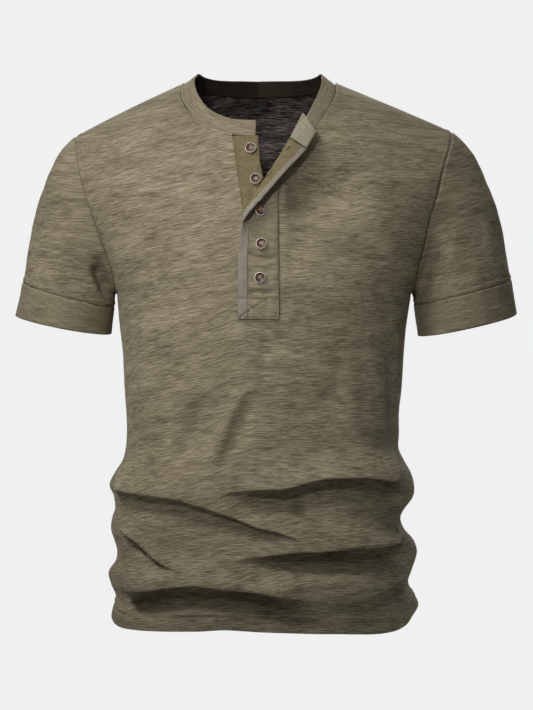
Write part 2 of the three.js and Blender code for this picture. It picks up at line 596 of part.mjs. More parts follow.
// ---------------------------------------------------------------- sleeves
function sleevePieces(name) {
  const S = SLEEVES[name], sign = S.side;
  // armhole loop: tip, down the front, armpit, up the back
  const loop = [];
  for (let j = FRONT_ARM_ROWS; j >= 0; j -= 1) loop.push(armholePoint('front', sign, j, FRONT_ARM_ROWS));
  for (let j = 1; j < BACK_ARM_ROWS; j += 1) loop.push(armholePoint('back', sign, j, BACK_ARM_ROWS));
  loop[0].y = 0;
  loop[FRONT_ARM_ROWS].y = 0;
  const n = loop.length;
  const wall = loop.map((p, i) => {
    const w = armholeWall(sign, p.y, p.z);
    if (i === 0 || i === FRONT_ARM_ROWS) w.y = 0;
    return w.normalize();
  });
  const away = loop.map((_, i) => {
    const tangent = loop[(i + 1) % n].clone().sub(loop[(i + n - 1) % n]).normalize();
    const t = tangent.cross(wall[i]).normalize();
    // at the armpit the sleeve drops straight down
    return t.x * sign < 0 ? t.negate() : t;
  });
  // arc length round the loop gives each point's angle on the round sleeve
  const angle = [];
  for (const [from, to, a0] of [[0, FRONT_ARM_ROWS, 0], [FRONT_ARM_ROWS, n, Math.PI]]) {
    const run = [0];
    for (let i = from; i < to; i += 1) run.push(run[run.length - 1] + loop[i].distanceTo(loop[(i + 1) % n]));
    for (let i = from; i < to; i += 1) angle[i] = a0 + Math.PI * run[i - from] / run[run.length - 1];
  }
  const ring = (out, inn, depth, dip, grow) => (a) => {
    const cx = (out[0] + inn[0]) / 2, cz = (out[1] + inn[1]) / 2;
    const hx = (out[0] - inn[0]) / 2, hz = (out[1] - inn[1]) / 2;
    const k = 1 + grow / depth;
    return V(cx + hx * Math.cos(a) * k, -depth * Math.sin(a) * k, cz + hz * Math.cos(a) * k - dip * Math.sin(a));
  };
  const seamRing = ring(S.seamOut, S.seamIn, S.depth, S.dip, 0);
  const endRing = ring(S.endOut, S.endIn, S.depth, S.dip, 0);
  const axis = V(S.endOut[0] + S.endIn[0] - S.seamOut[0] - S.seamIn[0], 0, S.endOut[1] + S.endIn[1] - S.seamOut[1] - S.seamIn[1]).normalize();
  const P = loop.map((p, i) => {
    const start = p.clone().addScaledVector(away[i], SEAM + 0.05);
    const target = seamRing(angle[i]);
    const chord = start.distanceTo(target);
    const c0 = start.clone().addScaledVector(away[i], chord * 0.26);
    const c1 = target.clone().addScaledVector(axis, -chord * 0.34);
    const column = [];
    for (let k = 0; k <= SLEEVE_ROWS; k += 1) {
      const t = k / SLEEVE_ROWS, w = 1 - t;
      column.push(start.clone().multiplyScalar(w * w * w).addScaledVector(c0, 3 * w * w * t)
        .addScaledVector(c1, 3 * w * t * t).addScaledVector(target, t * t * t));
    }
    return column;
  });
  let N = normals(P, 1, true);
  const probe = N[0][3];
  if (probe.z < 0) N = N.map((col) => col.map((v) => v.negate()));
  for (let i = 0; i < n; i += 1) N[i][0] = wall[i].clone();
  const sleeve = shell(P, N, WALL, true);

  const C = [], CN = [];
  const radial = (a) => V(Math.cos(a) * sign, -Math.sin(a), 0);
  for (let i = 0; i < n; i += 1) {
    const a = angle[i], col = [], ncol = [];
    const r = radial(a);
    r.addScaledVector(axis, -r.dot(axis)).normalize();
    for (let k = 0; k <= CUFF_ROWS + 1; k += 1) {
      const t = k / (CUFF_ROWS + 1);
      const p = seamRing(a).lerp(endRing(a), t).addScaledVector(axis, SEAM * (1 - t) + 0.05).addScaledVector(r, 0.5);
      col.push(p); ncol.push(r.clone());
    }
    C.push(col); CN.push(ncol);
  }
  const cuff = shell(C, CN, CUFF_WALL, true);
  return { sleeve, cuff };
}

// ---------------------------------------------------------------- small pieces
function buttonPiece(spec) {
  const R = BUTTON_D / 2, T = BUTTON_T;
  const profile = [
    [0, 0], [R * 0.62, 0], [R * 0.94, T * 0.35], [R, T * 0.62], [R * 0.9, T], [R * 0.7, T * 0.94], [R * 0.56, T * 0.62], [0, T * 0.6],
  ].map(([r, z]) => new THREE.Vector2(r, z));
  const lathe = new THREE.LatheGeometry(profile, 16);
  let disc = solid(outward(mergeVertices(stripped(lathe), 1e-4)));
  for (const [dx, dz] of [[1, 1], [1, -1], [-1, 1], [-1, -1]]) {
    const hole = new THREE.CylinderGeometry(0.75, 0.75, T * 3, 6);
    hole.translate(dx * 1.35, 0, dz * 1.35);
    disc = disc.subtract(solid(outward(mergeVertices(stripped(hole), 1e-4))));
  }
  const g = geometryOf(disc);
  // the lathe's axis is y; turn it to the cloth's outward direction
  const gap = spec.on === 'stand' ? 0.5 : OUT + 1.9;
  const q = onFront(spec.x, spec.z, gap);
  const mesh = new THREE.Mesh(g, HORN);
  mesh.quaternion.setFromUnitVectors(V(0, 1, 0), q.n);
  mesh.position.copy(q.p);
  mesh.name = spec.name;
  return mesh;
}

function stripped(g) {
  g.deleteAttribute('normal');
  g.deleteAttribute('uv');
  return g;
}

function labelPiece() {
  const P = [], N = [];
  const y0 = body('back', LABEL.x, -12).y - WALL - 2.2;
  for (let i = 0; i <= 2; i += 1) {
    const x = LABEL.x - LABEL.width / 2 + (LABEL.width * i) / 2;
    const col = [], ncol = [];
    for (let j = 0; j <= 3; j += 1) {
      const z = LABEL.top - (LABEL.length * j) / 3;
      col.push(V(x, y0 - 1.2 + 0.4 * Math.cos(j), z)); ncol.push(V(0, -1, 0));
    }
    P.push(col); N.push(ncol);
  }
  return shell(P, N, LABEL.wall);
}

// ---------------------------------------------------------------- assembly
const shirt = new THREE.Group();
const put = (name, geometry, material) => {
  const mesh = new THREE.Mesh(geometry, material);
  mesh.name = name;
  shirt.add(mesh);
};

const frontGrid = panel('front', FRONT_COLS, FRONT_LOW_ROWS, FRONT_ARM_ROWS);
const backGrid = panel('back', BACK_COLS, BACK_LOW_ROWS, BACK_ARM_ROWS);
put('front', geometryOf(solid(shell(frontGrid.P, frontGrid.N, WALL)).subtract(frontCut())), OLIVE);
put('back', geometryOf(solid(shell(backGrid.P, backGrid.N, WALL)).subtract(backCut())), OLIVE);
for (const name of ['right', 'left']) {
  const { sleeve, cuff } = sleevePieces(name);
  put(`sleeve_${name}`, sleeve, OLIVE);
  put(`cuff_${name}`, cuff, OLIVE);
}
put('neckband', neckbandPiece(), OLIVE);
put('placket_under', standPiece(), TWILL);
const { placket, binding, facing } = overlapPieces();
put('placket_upper', placket, OLIVE);
put('placket_binding', binding, PALE);
put('placket_facing', facing, TWILL);
for (const spec of BUTTONS) shirt.add(buttonPiece(spec));
put('size_label', labelPiece(), BLACK);

export default shirt;
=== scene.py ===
"""Henley shirt, filled out as when worn. Sizes below are in millimetres and are
turned into metres when a mesh is made. +X is the wearer's left, -Y the front."""
import json
import math

import bpy
import numpy as np
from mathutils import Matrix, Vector
from mathutils.bvhtree import BVHTree

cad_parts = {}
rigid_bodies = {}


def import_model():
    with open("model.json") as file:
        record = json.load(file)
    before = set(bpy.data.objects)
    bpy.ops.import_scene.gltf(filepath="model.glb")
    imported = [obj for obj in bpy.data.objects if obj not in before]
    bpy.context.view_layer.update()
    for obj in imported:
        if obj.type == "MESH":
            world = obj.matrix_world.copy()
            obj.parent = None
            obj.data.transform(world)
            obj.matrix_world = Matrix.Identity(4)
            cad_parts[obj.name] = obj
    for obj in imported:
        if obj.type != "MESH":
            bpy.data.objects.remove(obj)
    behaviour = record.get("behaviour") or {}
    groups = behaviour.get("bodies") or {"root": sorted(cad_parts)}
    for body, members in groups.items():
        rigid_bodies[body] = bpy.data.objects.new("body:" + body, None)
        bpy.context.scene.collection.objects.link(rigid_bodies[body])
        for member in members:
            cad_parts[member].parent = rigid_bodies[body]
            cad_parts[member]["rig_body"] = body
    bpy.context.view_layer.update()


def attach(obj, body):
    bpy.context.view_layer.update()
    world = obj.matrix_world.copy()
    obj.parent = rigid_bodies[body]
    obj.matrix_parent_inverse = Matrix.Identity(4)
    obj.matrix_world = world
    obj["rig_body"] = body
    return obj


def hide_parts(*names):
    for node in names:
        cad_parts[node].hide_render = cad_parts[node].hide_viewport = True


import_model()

MM = 0.001

# ------------------------------------------------------------------ sizes
CLOTH = 1.0            # body and sleeve jersey
HEM_CLOTH = 2.0        # the turned-up hem is double
CUFF_WALL = 1.9
BAND_WALL = 1.9
BAND_HEIGHT = 20.5
PLACKET_WALL = 1.1
SEAM = 0.3
OUT = 2.15             # outer face of the overlap, out from the front panel
ARMPIT_Z, CHEST_Z = -241.0, -230.0
SHOULDER_POWER, FRONT_POWER, BACK_POWER = 1.7, 2.3, 2.2
SLIT_FOOT_Z = -258.0
STAND_WIDTH = 27.0
BINDING_WIDTH, BINDING_RETURN = 10.0, 5.0
BUTTON_D = 12.5

SECTIONS = dict(
    z=[-640, -612, -597, -586, -571, -558, -545, -534, -522, -510, -497, -486, -472, -459, -445, -431, -417, -400, -376, -348, -307, -279, -241],
    right=[166, 171, 168, 165.5, 171.5, 173.5, 165.5, 164.5, 168, 171.5, 170, 166.5, 168, 172.5, 166.5, 157.5, 154, 153, 154, 155.5, 157.5, 161, 164.5],
    left=[172, 176, 182, 178, 170.5, 174, 178.5, 180.5, 176, 165.5, 161, 166, 176, 177, 173, 165.5, 159.5, 160, 160, 163, 165.5, 168, 173.5],
    front=[112, 112, 114, 115, 117, 118, 116, 115, 115, 114, 114, 115, 117, 118, 116, 113, 111, 110, 110, 112, 115, 117, 118],
    back=[103, 103, 104, 104, 103, 101, 100, 100, 101, 101, 99, 97, 96, 95, 93, 91, 90, 89, 90, 93, 100, 105, 109],
)
ARMHOLE = dict(
    z=[-241, -235, -222, -207, -181, -151, -129, -98, -72, -56],
    right=[164.5, 165, 167, 170.8, 180.3, 190.8, 198.5, 206.7, 211.5, 211],
    left=[173.5, 175, 178, 181.7, 187.5, 194, 201, 209, 217, 220],
    round=[0, 0.2, 0.31, 0.39, 0.48, 0.56, 0.61, 0.66, 0.7, 0.72],
)
SHOULDER = {
    "right": dict(neck=86, top=2.5, fall=0.44, bend=0.0004, tip=211),
    "left": dict(neck=86, top=2.5, fall=0.40, bend=0.00015, tip=220),
}
HEM = dict(
    f=[-1, -0.86, -0.62, -0.3, -0.15, 0, 0.35, 0.62, 0.84, 1],
    front=[-607, -617, -620, -619, -617, -619, -622, -623.5, -617, -600],
    back=[-607, -609, -611, -612, -611, -610, -610, -609, -605, -600],
)
# Large rolled folds: the lip's height at four stations from x0 to x1, the swell
# above it and the hollow under it, the heights over which both fade, how sharply
# the lip turns under, and how far it hangs over.
FOLD_KEYS = ("face", "x0", "x1", "za", "zb", "zc", "zd", "crest", "dip", "up", "down", "fade0", "fade1", "turn", "hang")
FOLDS = [dict(zip(FOLD_KEYS, row)) for row in [
    ("front", -168, 64, -463, -472, -499, -521, 8.5, 5, 34, 46, 0.04, 0.3, 4, 4.5),
    ("front", 162, -52, -453, -447, -459, -469, 10, 18, 34, 46, 0.05, 0.4, 7, 6),
    ("front", 162, -44, -521, -525.5, -532, -546, 11, 19, 34, 44, 0.06, 0.4, 7, 6.5),
    ("front", -164, -84, -508, -522, -541, -549, 5, 6.5, 14, 17, 0.2, 0.4, 5, 2.5),
    ("front", -158, 88, -577, -568, -574, -603, 13, 20, 40, 38, 0.08, 0.32, 7, 7),
    ("front", 166, 52, -562, -573, -578, -584, 6, 5, 30, 32, 0.1, 0.4, 12, 1.5),
    ("back", -166, 70, -466, -458, -452, -455, 8, 7, 36, 40, 0.05, 0.4, 7, 4),
    ("back", 168, -80, -488, -506, -519, -523, 9, 8, 36, 42, 0.05, 0.4, 7, 4.5),
    ("back", -162, 100, -545, -560, -570, -566, 9, 8, 38, 40, 0.08, 0.4, 7, 4.5),
]]
# Soft drags in the cloth: from one point to another with a bend in the middle,
# the rise (negative is a hollow), its width on the two sides, and the share of
# its length over which each end fades.
DRAG_KEYS = ("face", "x0", "z0", "xm", "zm", "x1", "z1", "rise", "wa", "wb", "fade")
DRAGS = [dict(zip(DRAG_KEYS, row)) for row in [
    ("front", -111, -272, -105, -350, -110, -447, -5.9, 13, 10, 0.35),
    ("front", -131, -262, -127, -350, -126, -440, 3.9, 12, 9, 0.35),
    ("front", -58, -345, -76, -392, -108, -452, -5.7, 8, 12, 0.35),
    ("front", -8, -338, -35, -385, -55, -455, 5.7, 7, 12, 0.3),
    ("front", 2, -345, -20, -392, -36, -447, -4.2, 9, 14, 0.35),
    ("front", 3.6, -282, 5, -318, 2, -368, -2.6, 5, 7, 0.4),
    ("front", 18, -284, 26, -340, 24, -410, 2.1, 9, 9, 0.4),
    ("front", 64, -338, 72, -362, 84, -388, -4.4, 15, 12, 0.5),
    ("front", 88, -276, 87, -338, 96, -402, -3.1, 12, 10, 0.4),
    ("front", 122, -270, 132, -345, 140, -420, 3.4, 11, 11, 0.35),
    ("front", 146, -290, 148, -350, 150, -410, -2.6, 6, 6, 0.4),
    ("front", 56, -402, 92, -412, 132, -428, 3.0, 12, 9, 0.45),
    ("front", -150, -236, -128, -214, -100, -196, -2.6, 9, 12, 0.5),
    ("front", -158, -215, -138, -186, -112, -160, 2.4, 8, 10, 0.5),
    ("front", 160, -232, 138, -208, 108, -190, -3.0, 9, 12, 0.5),
    ("front", 168, -205, 148, -172, 118, -150, 2.2, 8, 10, 0.5),
    ("front", 20, -146, 68, -126, 128, -116, -16, 23, 50, 0.28),
    ("front", 27, -172, 38, -196, 46, -226, -2.6, 9, 14, 0.45),
    ("front", 62, -84, 92, -112, 120, -150, 2.6, 14, 16, 0.5),
    ("front", -58, -74, -72, -104, -84, -150, -1.6, 12, 14, 0.45),
    ("front", -96, -24, -130, -62, -160, -112, 1.4, 12, 12, 0.45),
    ("front", -25.5, -253, -28, -264, -31, -277, 1.5, 1.9, 2.3, 0.35),
    ("front", -30.5, -256, -33, -266, -36, -280, -1.3, 2.6, 3.2, 0.4),
    ("front", -149, -437, -147, -449, -142, -462, 2.4, 3, 4, 0.4),
    ("front", -142, -437, -140, -449, -135, -462, -2.2, 3, 4, 0.4),
    ("front", -144, -478, -149, -490, -153, -502, 2.0, 3, 4, 0.4),
    ("front", -146, -486, -152, -497, -158, -508, -1.8, 3, 3, 0.4),
    ("front", 146, -444, 157, -452, 168, -468, -2.4, 4, 5, 0.4),
    ("front", 140, -449, 151, -460, 160, -478, 1.8, 5, 5, 0.4),
    ("front", 150, -534, 146, -556, 138, -584, 2.4, 5, 6, 0.4),
    ("front", 139, -540, 134, -560, 128, -584, -2.4, 5, 6, 0.4),
    ("front", -152, -586, -148, -600, -150, -616, 1.6, 3, 4, 0.4),
    ("front", -60, -592, -30, -588, 4, -596, 2.2, 7, 6, 0.45),
    ("front", 78, -572, 118, -571, 156, -575, 2.2, 6, 6, 0.45),
    ("front", 60, -470, 96, -478, 128, -474, 2.0, 9, 8, 0.45),
    ("front", 40, -556, 84, -560, 126, -552, 2.4, 9, 8, 0.45),
    ("front", -96, -520, -50, -526, -8, -540, 2.0, 9, 9, 0.45),
    ("back", -108, -262, -100, -340, -112, -430, -4.2, 12, 14, 0.35),
    ("back", -62, -230, -54, -318, -66, -400, 3.2, 14, 11, 0.35),
    ("back", -16, -282, -22, -350, -8, -436, -3.2, 11, 15, 0.35),
    ("back", 38, -250, 46, -330, 34, -418, 3.0, 15, 11, 0.35),
    ("back", 92, -276, 98, -350, 90, -436, -4.4, 12, 15, 0.35),
    ("back", 132, -262, 138, -346, 132, -420, 2.6, 10, 9, 0.35),
    ("back", 150, -226, 128, -204, 96, -190, -3.0, 9, 13, 0.5),
    ("back", -150, -228, -126, -200, -92, -184, -3.0, 9, 13, 0.5),
    ("back", 164, -196, 142, -166, 108, -148, 2.2, 8, 11, 0.5),
    ("back", -162, -192, -138, -160, -106, -142, 2.2, 8, 11, 0.5),
    ("back", -60, -70, -20, -78, 36, -72, -1.6, 12, 16, 0.5),
    ("back", -92, -506, -40, -498, 20, -488, 2.0, 10, 9, 0.45),
    ("back", 20, -540, 70, -546, 120, -540, 2.0, 9, 9, 0.45),
    ("back", -136, -574, -90, -584, -40, -588, 2.0, 8, 8, 0.45),
    ("sleeve_right", -206, -196, -198, -220, -196, -246, -2.4, 8, 8, 0.45),
    ("sleeve_right", -232, -150, -226, -190, -228, -226, 1.6, 11, 11, 0.45),
    ("sleeve_right", -187, -202, -175, -229, -164, -246, -13.0, 7, 7, 0.3),
    ("sleeve_left", 205, -176, 203, -212, 202, -246, -3.6, 7, 8, 0.45),
    ("sleeve_left", 214, -160, 216, -200, 219, -240, 2.2, 9, 11, 0.45),
    ("sleeve_left", 189, -178, 186, -212, 182, -248, -6.5, 8, 8, 0.5),
    ("sleeve_left", 196, -190, 195, -215, 193, -244, 1.8, 4, 5, 0.45),
    ("sleeve_left", 246, -140, 250, -180, 258, -214, -1.6, 9, 10, 0.45),
]]
NECKLINE = {
    "right": dict(x=[-87.5, -91.5, -84, -70, -53, -33, -2], z=[1.5, -11, -30, -45, -55, -61.5, -64]),
    "left": dict(x=[87.5, 86.5, 79, 69, 57], z=[1.5, -13, -29, -45, -64]),
    "back": dict(x=[-87.5, -76, -50, 0, 50, 76, 87.5], z=[1.5, -4, -8.5, -10.5, -8.5, -4, 1.5]),
}
# The overlap of the placket, foot to top: its seam, the roll where it turns back
# on itself, and its free edge, with how far that stands off.
OVERLAP = dict(
    seamX=[20.8, 20.8, 20.6, 20.5, 20.3, 20, 20.5, 23, 30, 43, 52],
    seamZ=[-270, -246, -206, -185, -166, -148, -132, -116, -99, -83, -66],
    rollX=[-10, -10, -10, -12, -15, -17.3, -9.5, 3, 14.5, 24.5, 33.5],
    rollZ=[-270, -246, -206, -186, -168, -155, -142, -122, -104, -87, -71.5],
    edgeX=[-23.7, -23.7, -23.7, -22.5, -20.2, -15.2, -4, 11, 27.5, 40, 50],
    edgeZ=[-270, -246, -206, -188, -172, -160, -146, -129, -110, -96.5, -85.5],
    lift=[0, 0, 0, 2, 6, 10, 12, 12, 12, 11, 10.5],
    bow=[0, 0, 0, 0.6, 1.6, 3, 4, 5, 5, 5, 5],
)
BAND_END = [
    dict(seamX=53, seamZ=-64, rollX=34.3, rollZ=-70.2, edgeX=50.8, edgeZ=-84.2, lift=10.5, bow=5),
    dict(seamX=53, seamZ=-46, rollX=48.5, rollZ=-42, edgeX=61, edgeZ=-66.5, lift=12, bow=5),
]
# Creases across the flat of the overlap, in x and z.
CREASES = [dict(zip(DRAG_KEYS, ("placket",) + row)) for row in [
    (-15, -194, -4, -201, 20, -201, -2.3, 1.8, 3.2, 0.25),
    (-14, -206, -2, -209, 20, -207, 1.5, 2.4, 3.4, 0.3),
    (-15, -186, -2, -190, 16, -190, 0.8, 2.2, 2.2, 0.35),
    (-15, -213, -8, -220, -3, -227, -1.7, 1.6, 2.2, 0.3),
    (-14, -240, 2, -241.5, 20, -240.5, -3.2, 3.2, 2.4, 0.18),
    (-12, -233, 0, -235, 17, -233, 0.9, 1.9, 1.9, 0.35),
    (12, -178, 14, -186, 12, -196, 0.7, 2.2, 2.2, 0.4),
    (13, -222, 15, -230, 12, -237, 0.7, 2.2, 2.2, 0.4),
]]
SLEEVES = {
    "right": dict(side=-1, seamOut=(-272.6, -226.6), seamIn=(-167.5, -255), endOut=(-280, -264.5), endIn=(-171.5, -285.5), depth=56, dip=5),
    "left": dict(side=1, seamOut=(288.7, -223), seamIn=(177, -251.5), endOut=(295, -262.5), endIn=(181.5, -287.5), depth=57, dip=5),
}
BUTTONS = [
    ("button_1", -10.2, -78.5, "stand"), ("button_2", -4.6, -113.6, "stand"),
    ("button_3", 0.6, -150, "overlap"), ("button_4", 1.6, -187, "overlap"), ("button_5", 0.2, -224.5, "overlap"),
]
LABEL = dict(x=3.4, width=11, top=-13, length=12)


# ------------------------------------------------------------------ helpers
def smooth(t):
    t = np.clip(t, 0, 1)
    return t * t * (3 - 2 * t)


def lerp(a, b, t):
    return a + (b - a) * t


def unit(v):
    return v / np.maximum(np.linalg.norm(v, axis=-1, keepdims=True), 1e-12)


def track(xs, ys):
    """Smooth interpolation of one column of a table by another."""
    order = np.argsort(xs)
    xs, ys = np.asarray(xs, float)[order], np.asarray(ys, float)[order]
    n = len(xs)
    lo, hi = np.maximum(0, np.arange(n) - 1), np.minimum(n - 1, np.arange(n) + 1)
    slope = (ys[hi] - ys[lo]) / (xs[hi] - xs[lo])

    def f(x):
        x = np.clip(np.asarray(x, float), xs[0], xs[-1])
        i = np.clip(np.searchsorted(xs, x, side="right") - 1, 0, n - 2)
        h = xs[i + 1] - xs[i]
        t = (x - xs[i]) / h
        t2, t3 = t * t, t * t * t
        return ((2 * t3 - 3 * t2 + 1) * ys[i] + (t3 - 2 * t2 + t) * h * slope[i]
                + (3 * t2 - 2 * t3) * ys[i + 1] + (t3 - t2) * h * slope[i + 1])
    return f


def path(table):
    """A smooth path through the rows of a table, at u from 0 to 1."""
    n = len(next(iter(table.values())))
    at = np.arange(n) / (n - 1)
    tracks = {k: track(at, v) for k, v in table.items()}
    return lambda u: {k: f(u) for k, f in tracks.items()}


def waves(count, low, high, seed):
    """Seeded smooth unevenness in two coordinates, about 1 at its highest."""
    r = np.random.default_rng(seed)
    length = r.uniform(low, high, count)
    angle = r.uniform(0, 2 * np.pi, count)
    phase = r.uniform(0, 2 * np.pi, count)
    kx, kz = 2 * np.pi * np.cos(angle) / length, 2 * np.pi * np.sin(angle) / length

    def f(x, z):
        total = 0
        for a, b, c in zip(kx, kz, phase):
            total = total + np.sin(a * x + b * z + c)
        return total / math.sqrt(count) / 1.4
    return f


# ------------------------------------------------------------------ body surface
SEC = {k: track(SECTIONS["z"], SECTIONS[k]) for k in ("right", "left", "front", "back")}
ARM = {k: track(ARMHOLE["z"], ARMHOLE[k]) for k in ("right", "left", "round")}
HEM_AT = {k: track(HEM["f"], HEM[k]) for k in ("front", "back")}


def edge_at(x, z):
    low = np.where(x < 0, SEC["right"](z), SEC["left"](z))
    arm = np.where(x < 0, ARM["right"](z), ARM["left"](z))
    return np.where(z <= ARMPIT_Z, low, arm)


def shoulder_z(x):
    def one(s):
        run = np.abs(x) - s["neck"]
        return s["top"] - s["fall"] * run - np.where(run > 0, s["bend"] * run * run, 0)
    return np.where(x < 0, one(SHOULDER["right"]), one(SHOULDER["left"]))


def fold_shape(face, x, z):
    """How far the large folds stand out, and how far they hang down."""
    height, drop = np.zeros_like(x), np.zeros_like(x)
    for i, f in enumerate(FOLDS):
        if f["face"] != face:
            continue
        u = (x - f["x0"]) / (f["x1"] - f["x0"])
        lip = track([0, 1 / 3, 2 / 3, 1], [f["za"], f["zb"], f["zc"], f["zd"]])(u)
        lip = lip + f["hang"] * 0.8 + 1.1 * np.sin(x / 13.0 + i * 1.7) * np.sin(x / 41.0 + i)
        along = np.where((u > 0) & (u < 1), smooth(u / f["fade0"]) * smooth((1 - u) / f["fade1"]), 0)
        along = along * (1 + 0.12 * np.sin(x / 23.0 + 2.1 * i))
        q, turn = z - lip, f["turn"] * (1 + 0.25 * np.sin(x / 31.0 + i))
        under = -q / turn
        below = (-q - turn)
        h = np.where(q >= 0, f["crest"] * smooth(1 - q / f["up"]),
                     np.where(under < 1, lerp(f["crest"], -f["dip"], smooth(under)),
                              -f["dip"] * smooth(1.22 * (1 - below / (f["down"] - turn)))))
        d = np.where(q >= 0, -smooth(1 - q / (f["up"] * 0.8)),
                     np.where(under < 1, lerp(-1, 0.55, smooth(under)),
                              0.55 * smooth(1 - below / (f["down"] * 0.6))))
        height += h * along
        drop += f["hang"] * d * along
    return height, drop


def drag_shape(face, x, z, table=None):
    total = np.zeros_like(x)
    for d in (DRAGS if table is None else table):
        if d["face"] != face:
            continue
        ax, az, bx, bz = d["x0"], d["z0"], d["x1"], d["z1"]
        ex, ez = bx - ax, bz - az
        length = math.hypot(ex, ez)
        t = ((x - ax) * ex + (z - az) * ez) / length ** 2
        # the middle point bends the line
        off_m = ((d["xm"] - ax) * -ez + (d["zm"] - az) * ex) / length
        tc = np.clip(t, 0, 1)
        off = ((x - ax) * -ez + (z - az) * ex) / length - 4 * tc * (1 - tc) * off_m
        w = np.where(off > 0, d["wa"], d["wb"])
        along = smooth(t / d["fade"]) * smooth((1 - t) / d["fade"])
        along = np.where((t > 0) & (t < 1), along, 0)
        total += d["rise"] * np.exp(-(off / w) ** 2) * along
    return total


def body(face, x, z, folds=True):
    """Points of the body's outer surface at x and z."""
    x, z = np.broadcast_arrays(np.asarray(x, float), np.asarray(z, float))
    front = face == "front"
    n, turn = (FRONT_POWER, -1) if front else (BACK_POWER, 1)
    a = edge_at(x, z)
    a = np.where(z > ARMPIT_Z, a / (1 - ARM["round"](z) ** n) ** (1 / n), a)
    f = np.clip(np.abs(x) / a, 0, 1)
    d = SEC[face](np.minimum(z, CHEST_Z))
    top = shoulder_z(x)
    t = np.clip((z - CHEST_Z) / (top - CHEST_Z), 0, 1)
    r = (1 - t ** SHOULDER_POWER) ** (1 / SHOULDER_POWER)
    y = d * (1 - f ** n) ** (1 / n) * r
    h = drop = 0
    if folds:
        h, drop = fold_shape(face, x, z)
        near = smooth((1 - f) / 0.08)
        h, drop = h * near, drop * near
    nx, ny = x / (a * a), y / (d * d)
    size = np.maximum(np.hypot(nx, ny), 1e-9)
    return np.stack([x + nx / size * h, turn * (y + ny / size * h + SEAM / 2), z + drop], -1)


def across_at(z):
    return lerp(1.5, 0.85, smooth((z - ARMPIT_Z) / 70))


def armhole_wall(sign, y, z):
    a = np.arctan2(np.abs(y) / 56, (z + 150) / 93)
    return unit(np.stack([sign * (0.33 + 0.33 * np.cos(a)), np.sign(y) * np.sin(a), np.cos(a)], -1))


def arm_t(j, rows):
    return (1 - np.cos(np.pi * np.asarray(j, float) / rows)) / 2


def armhole_points(face, sign, rows):
    side = "right" if sign < 0 else "left"
    tip = SHOULDER[side]["tip"] * sign
    z = lerp(ARMPIT_Z, float(shoulder_z(np.array(float(tip)))), arm_t(np.arange(rows + 1), rows))
    x = sign * ARM[side](z)
    p = body(face, x, z)
    p[[0, -1], 1] = (-1 if face == "front" else 1) * SEAM / 2
    return p


def on_front(x, z, out):
    """A point at a distance out from the front, and its outward direction."""
    x, z, out = np.broadcast_arrays(*(np.asarray(v, float) for v in (x, z, out)))
    e = 1.5
    p = body("front", x, z)
    n = np.cross(body("front", x + e, z) - body("front", x - e, z), body("front", x, z + e) - body("front", x, z - e))
    n = unit(n)
    n = np.where(n[..., 1:2] > 0, -n, n)
    return p + n * out[..., None], n


# ------------------------------------------------------------------ meshes
def vertex_normals(V, Q):
    f = np.cross(V[Q[:, 2]] - V[Q[:, 0]], V[Q[:, 3]] - V[Q[:, 1]])
    N = np.zeros_like(V)
    for k in range(4):
        np.add.at(N, Q[:, k], f)
    return unit(N)


def make_object(name, V, F, uv, index, mats):
    mesh = bpy.data.meshes.new(name)
    mesh.from_pydata((np.asarray(V) * MM).tolist(), [], [list(map(int, f)) for f in F])
    layer = mesh.uv_layers.new(name="Cloth")
    loops = np.empty(len(mesh.loops), np.int32)
    mesh.loops.foreach_get("vertex_index", loops)
    layer.uv.foreach_set("vector", (np.asarray(uv, float)[loops] * 0.01).astype(np.float32).ravel())
    for m in mats:
        mesh.materials.append(m)
    mesh.polygons.foreach_set("material_index", np.asarray(index, np.int32))
    mesh.polygons.foreach_set("use_smooth", np.ones(len(F), bool))
    mesh.update()
    mesh.validate()
    ob = bpy.data.objects.new(name, mesh)
    bpy.context.scene.collection.objects.link(ob)
    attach(ob, "root")
    return ob


def shell(name, V, Q, uv, thick, mats, flip=False, N=None):
    """A closed wall from an outer surface, its open edges rounded."""
    V, Q, uv = np.asarray(V, float), np.asarray(Q, int), np.asarray(uv, float)
    if flip:
        Q = Q[:, ::-1]
    n = len(V)
    thick = np.broadcast_to(np.asarray(thick, float), (n,))
    if N is None:
        N = vertex_normals(V, Q)
    inner = V - N * thick[:, None]
    E = np.concatenate([Q[:, [k, (k + 1) % 4]] for k in range(4)])
    key = np.sort(E, 1)
    key = key[:, 0] * n + key[:, 1]
    _, where, count = np.unique(key, return_inverse=True, return_counts=True)
    E = E[count[where] == 1]
    O = np.zeros_like(V)
    d = V[E[:, 1]] - V[E[:, 0]]
    o = unit(np.cross(d, N[E[:, 0]] + N[E[:, 1]]))
    np.add.at(O, E[:, 0], o)
    np.add.at(O, E[:, 1], o)
    O = unit(O)
    used = np.unique(E)
    at = np.full(n, -1)
    at[used] = np.arange(len(used)) + 2 * n
    mid = (V - N * thick[:, None] * 0.5 + O * thick[:, None] * 0.4)[used]
    a, b = E[:, 0], E[:, 1]
    rims = np.concatenate([np.stack([b, a, at[a], at[b]], 1), np.stack([at[b], at[a], a + n, b + n], 1)])
    F = np.concatenate([Q, Q[:, ::-1] + n, rims])
    index = np.concatenate([np.zeros(len(Q), int), np.full(len(Q), min(1, len(mats) - 1)), np.zeros(len(rims), int)])
    ob = make_object(name, np.concatenate([V, inner, mid]), F, np.concatenate([uv, uv, uv[used]]), index, mats)
    trees[name] = BVHTree.FromPolygons([tuple(p) for p in V.tolist()], [tuple(f) for f in Q.tolist()])
    area[name] = float(np.linalg.norm(np.cross(V[Q[:, 2]] - V[Q[:, 0]], V[Q[:, 3]] - V[Q[:, 1]]), axis=1).sum() / 2) * 1e-6
    return ob


trees, area = {}, {}


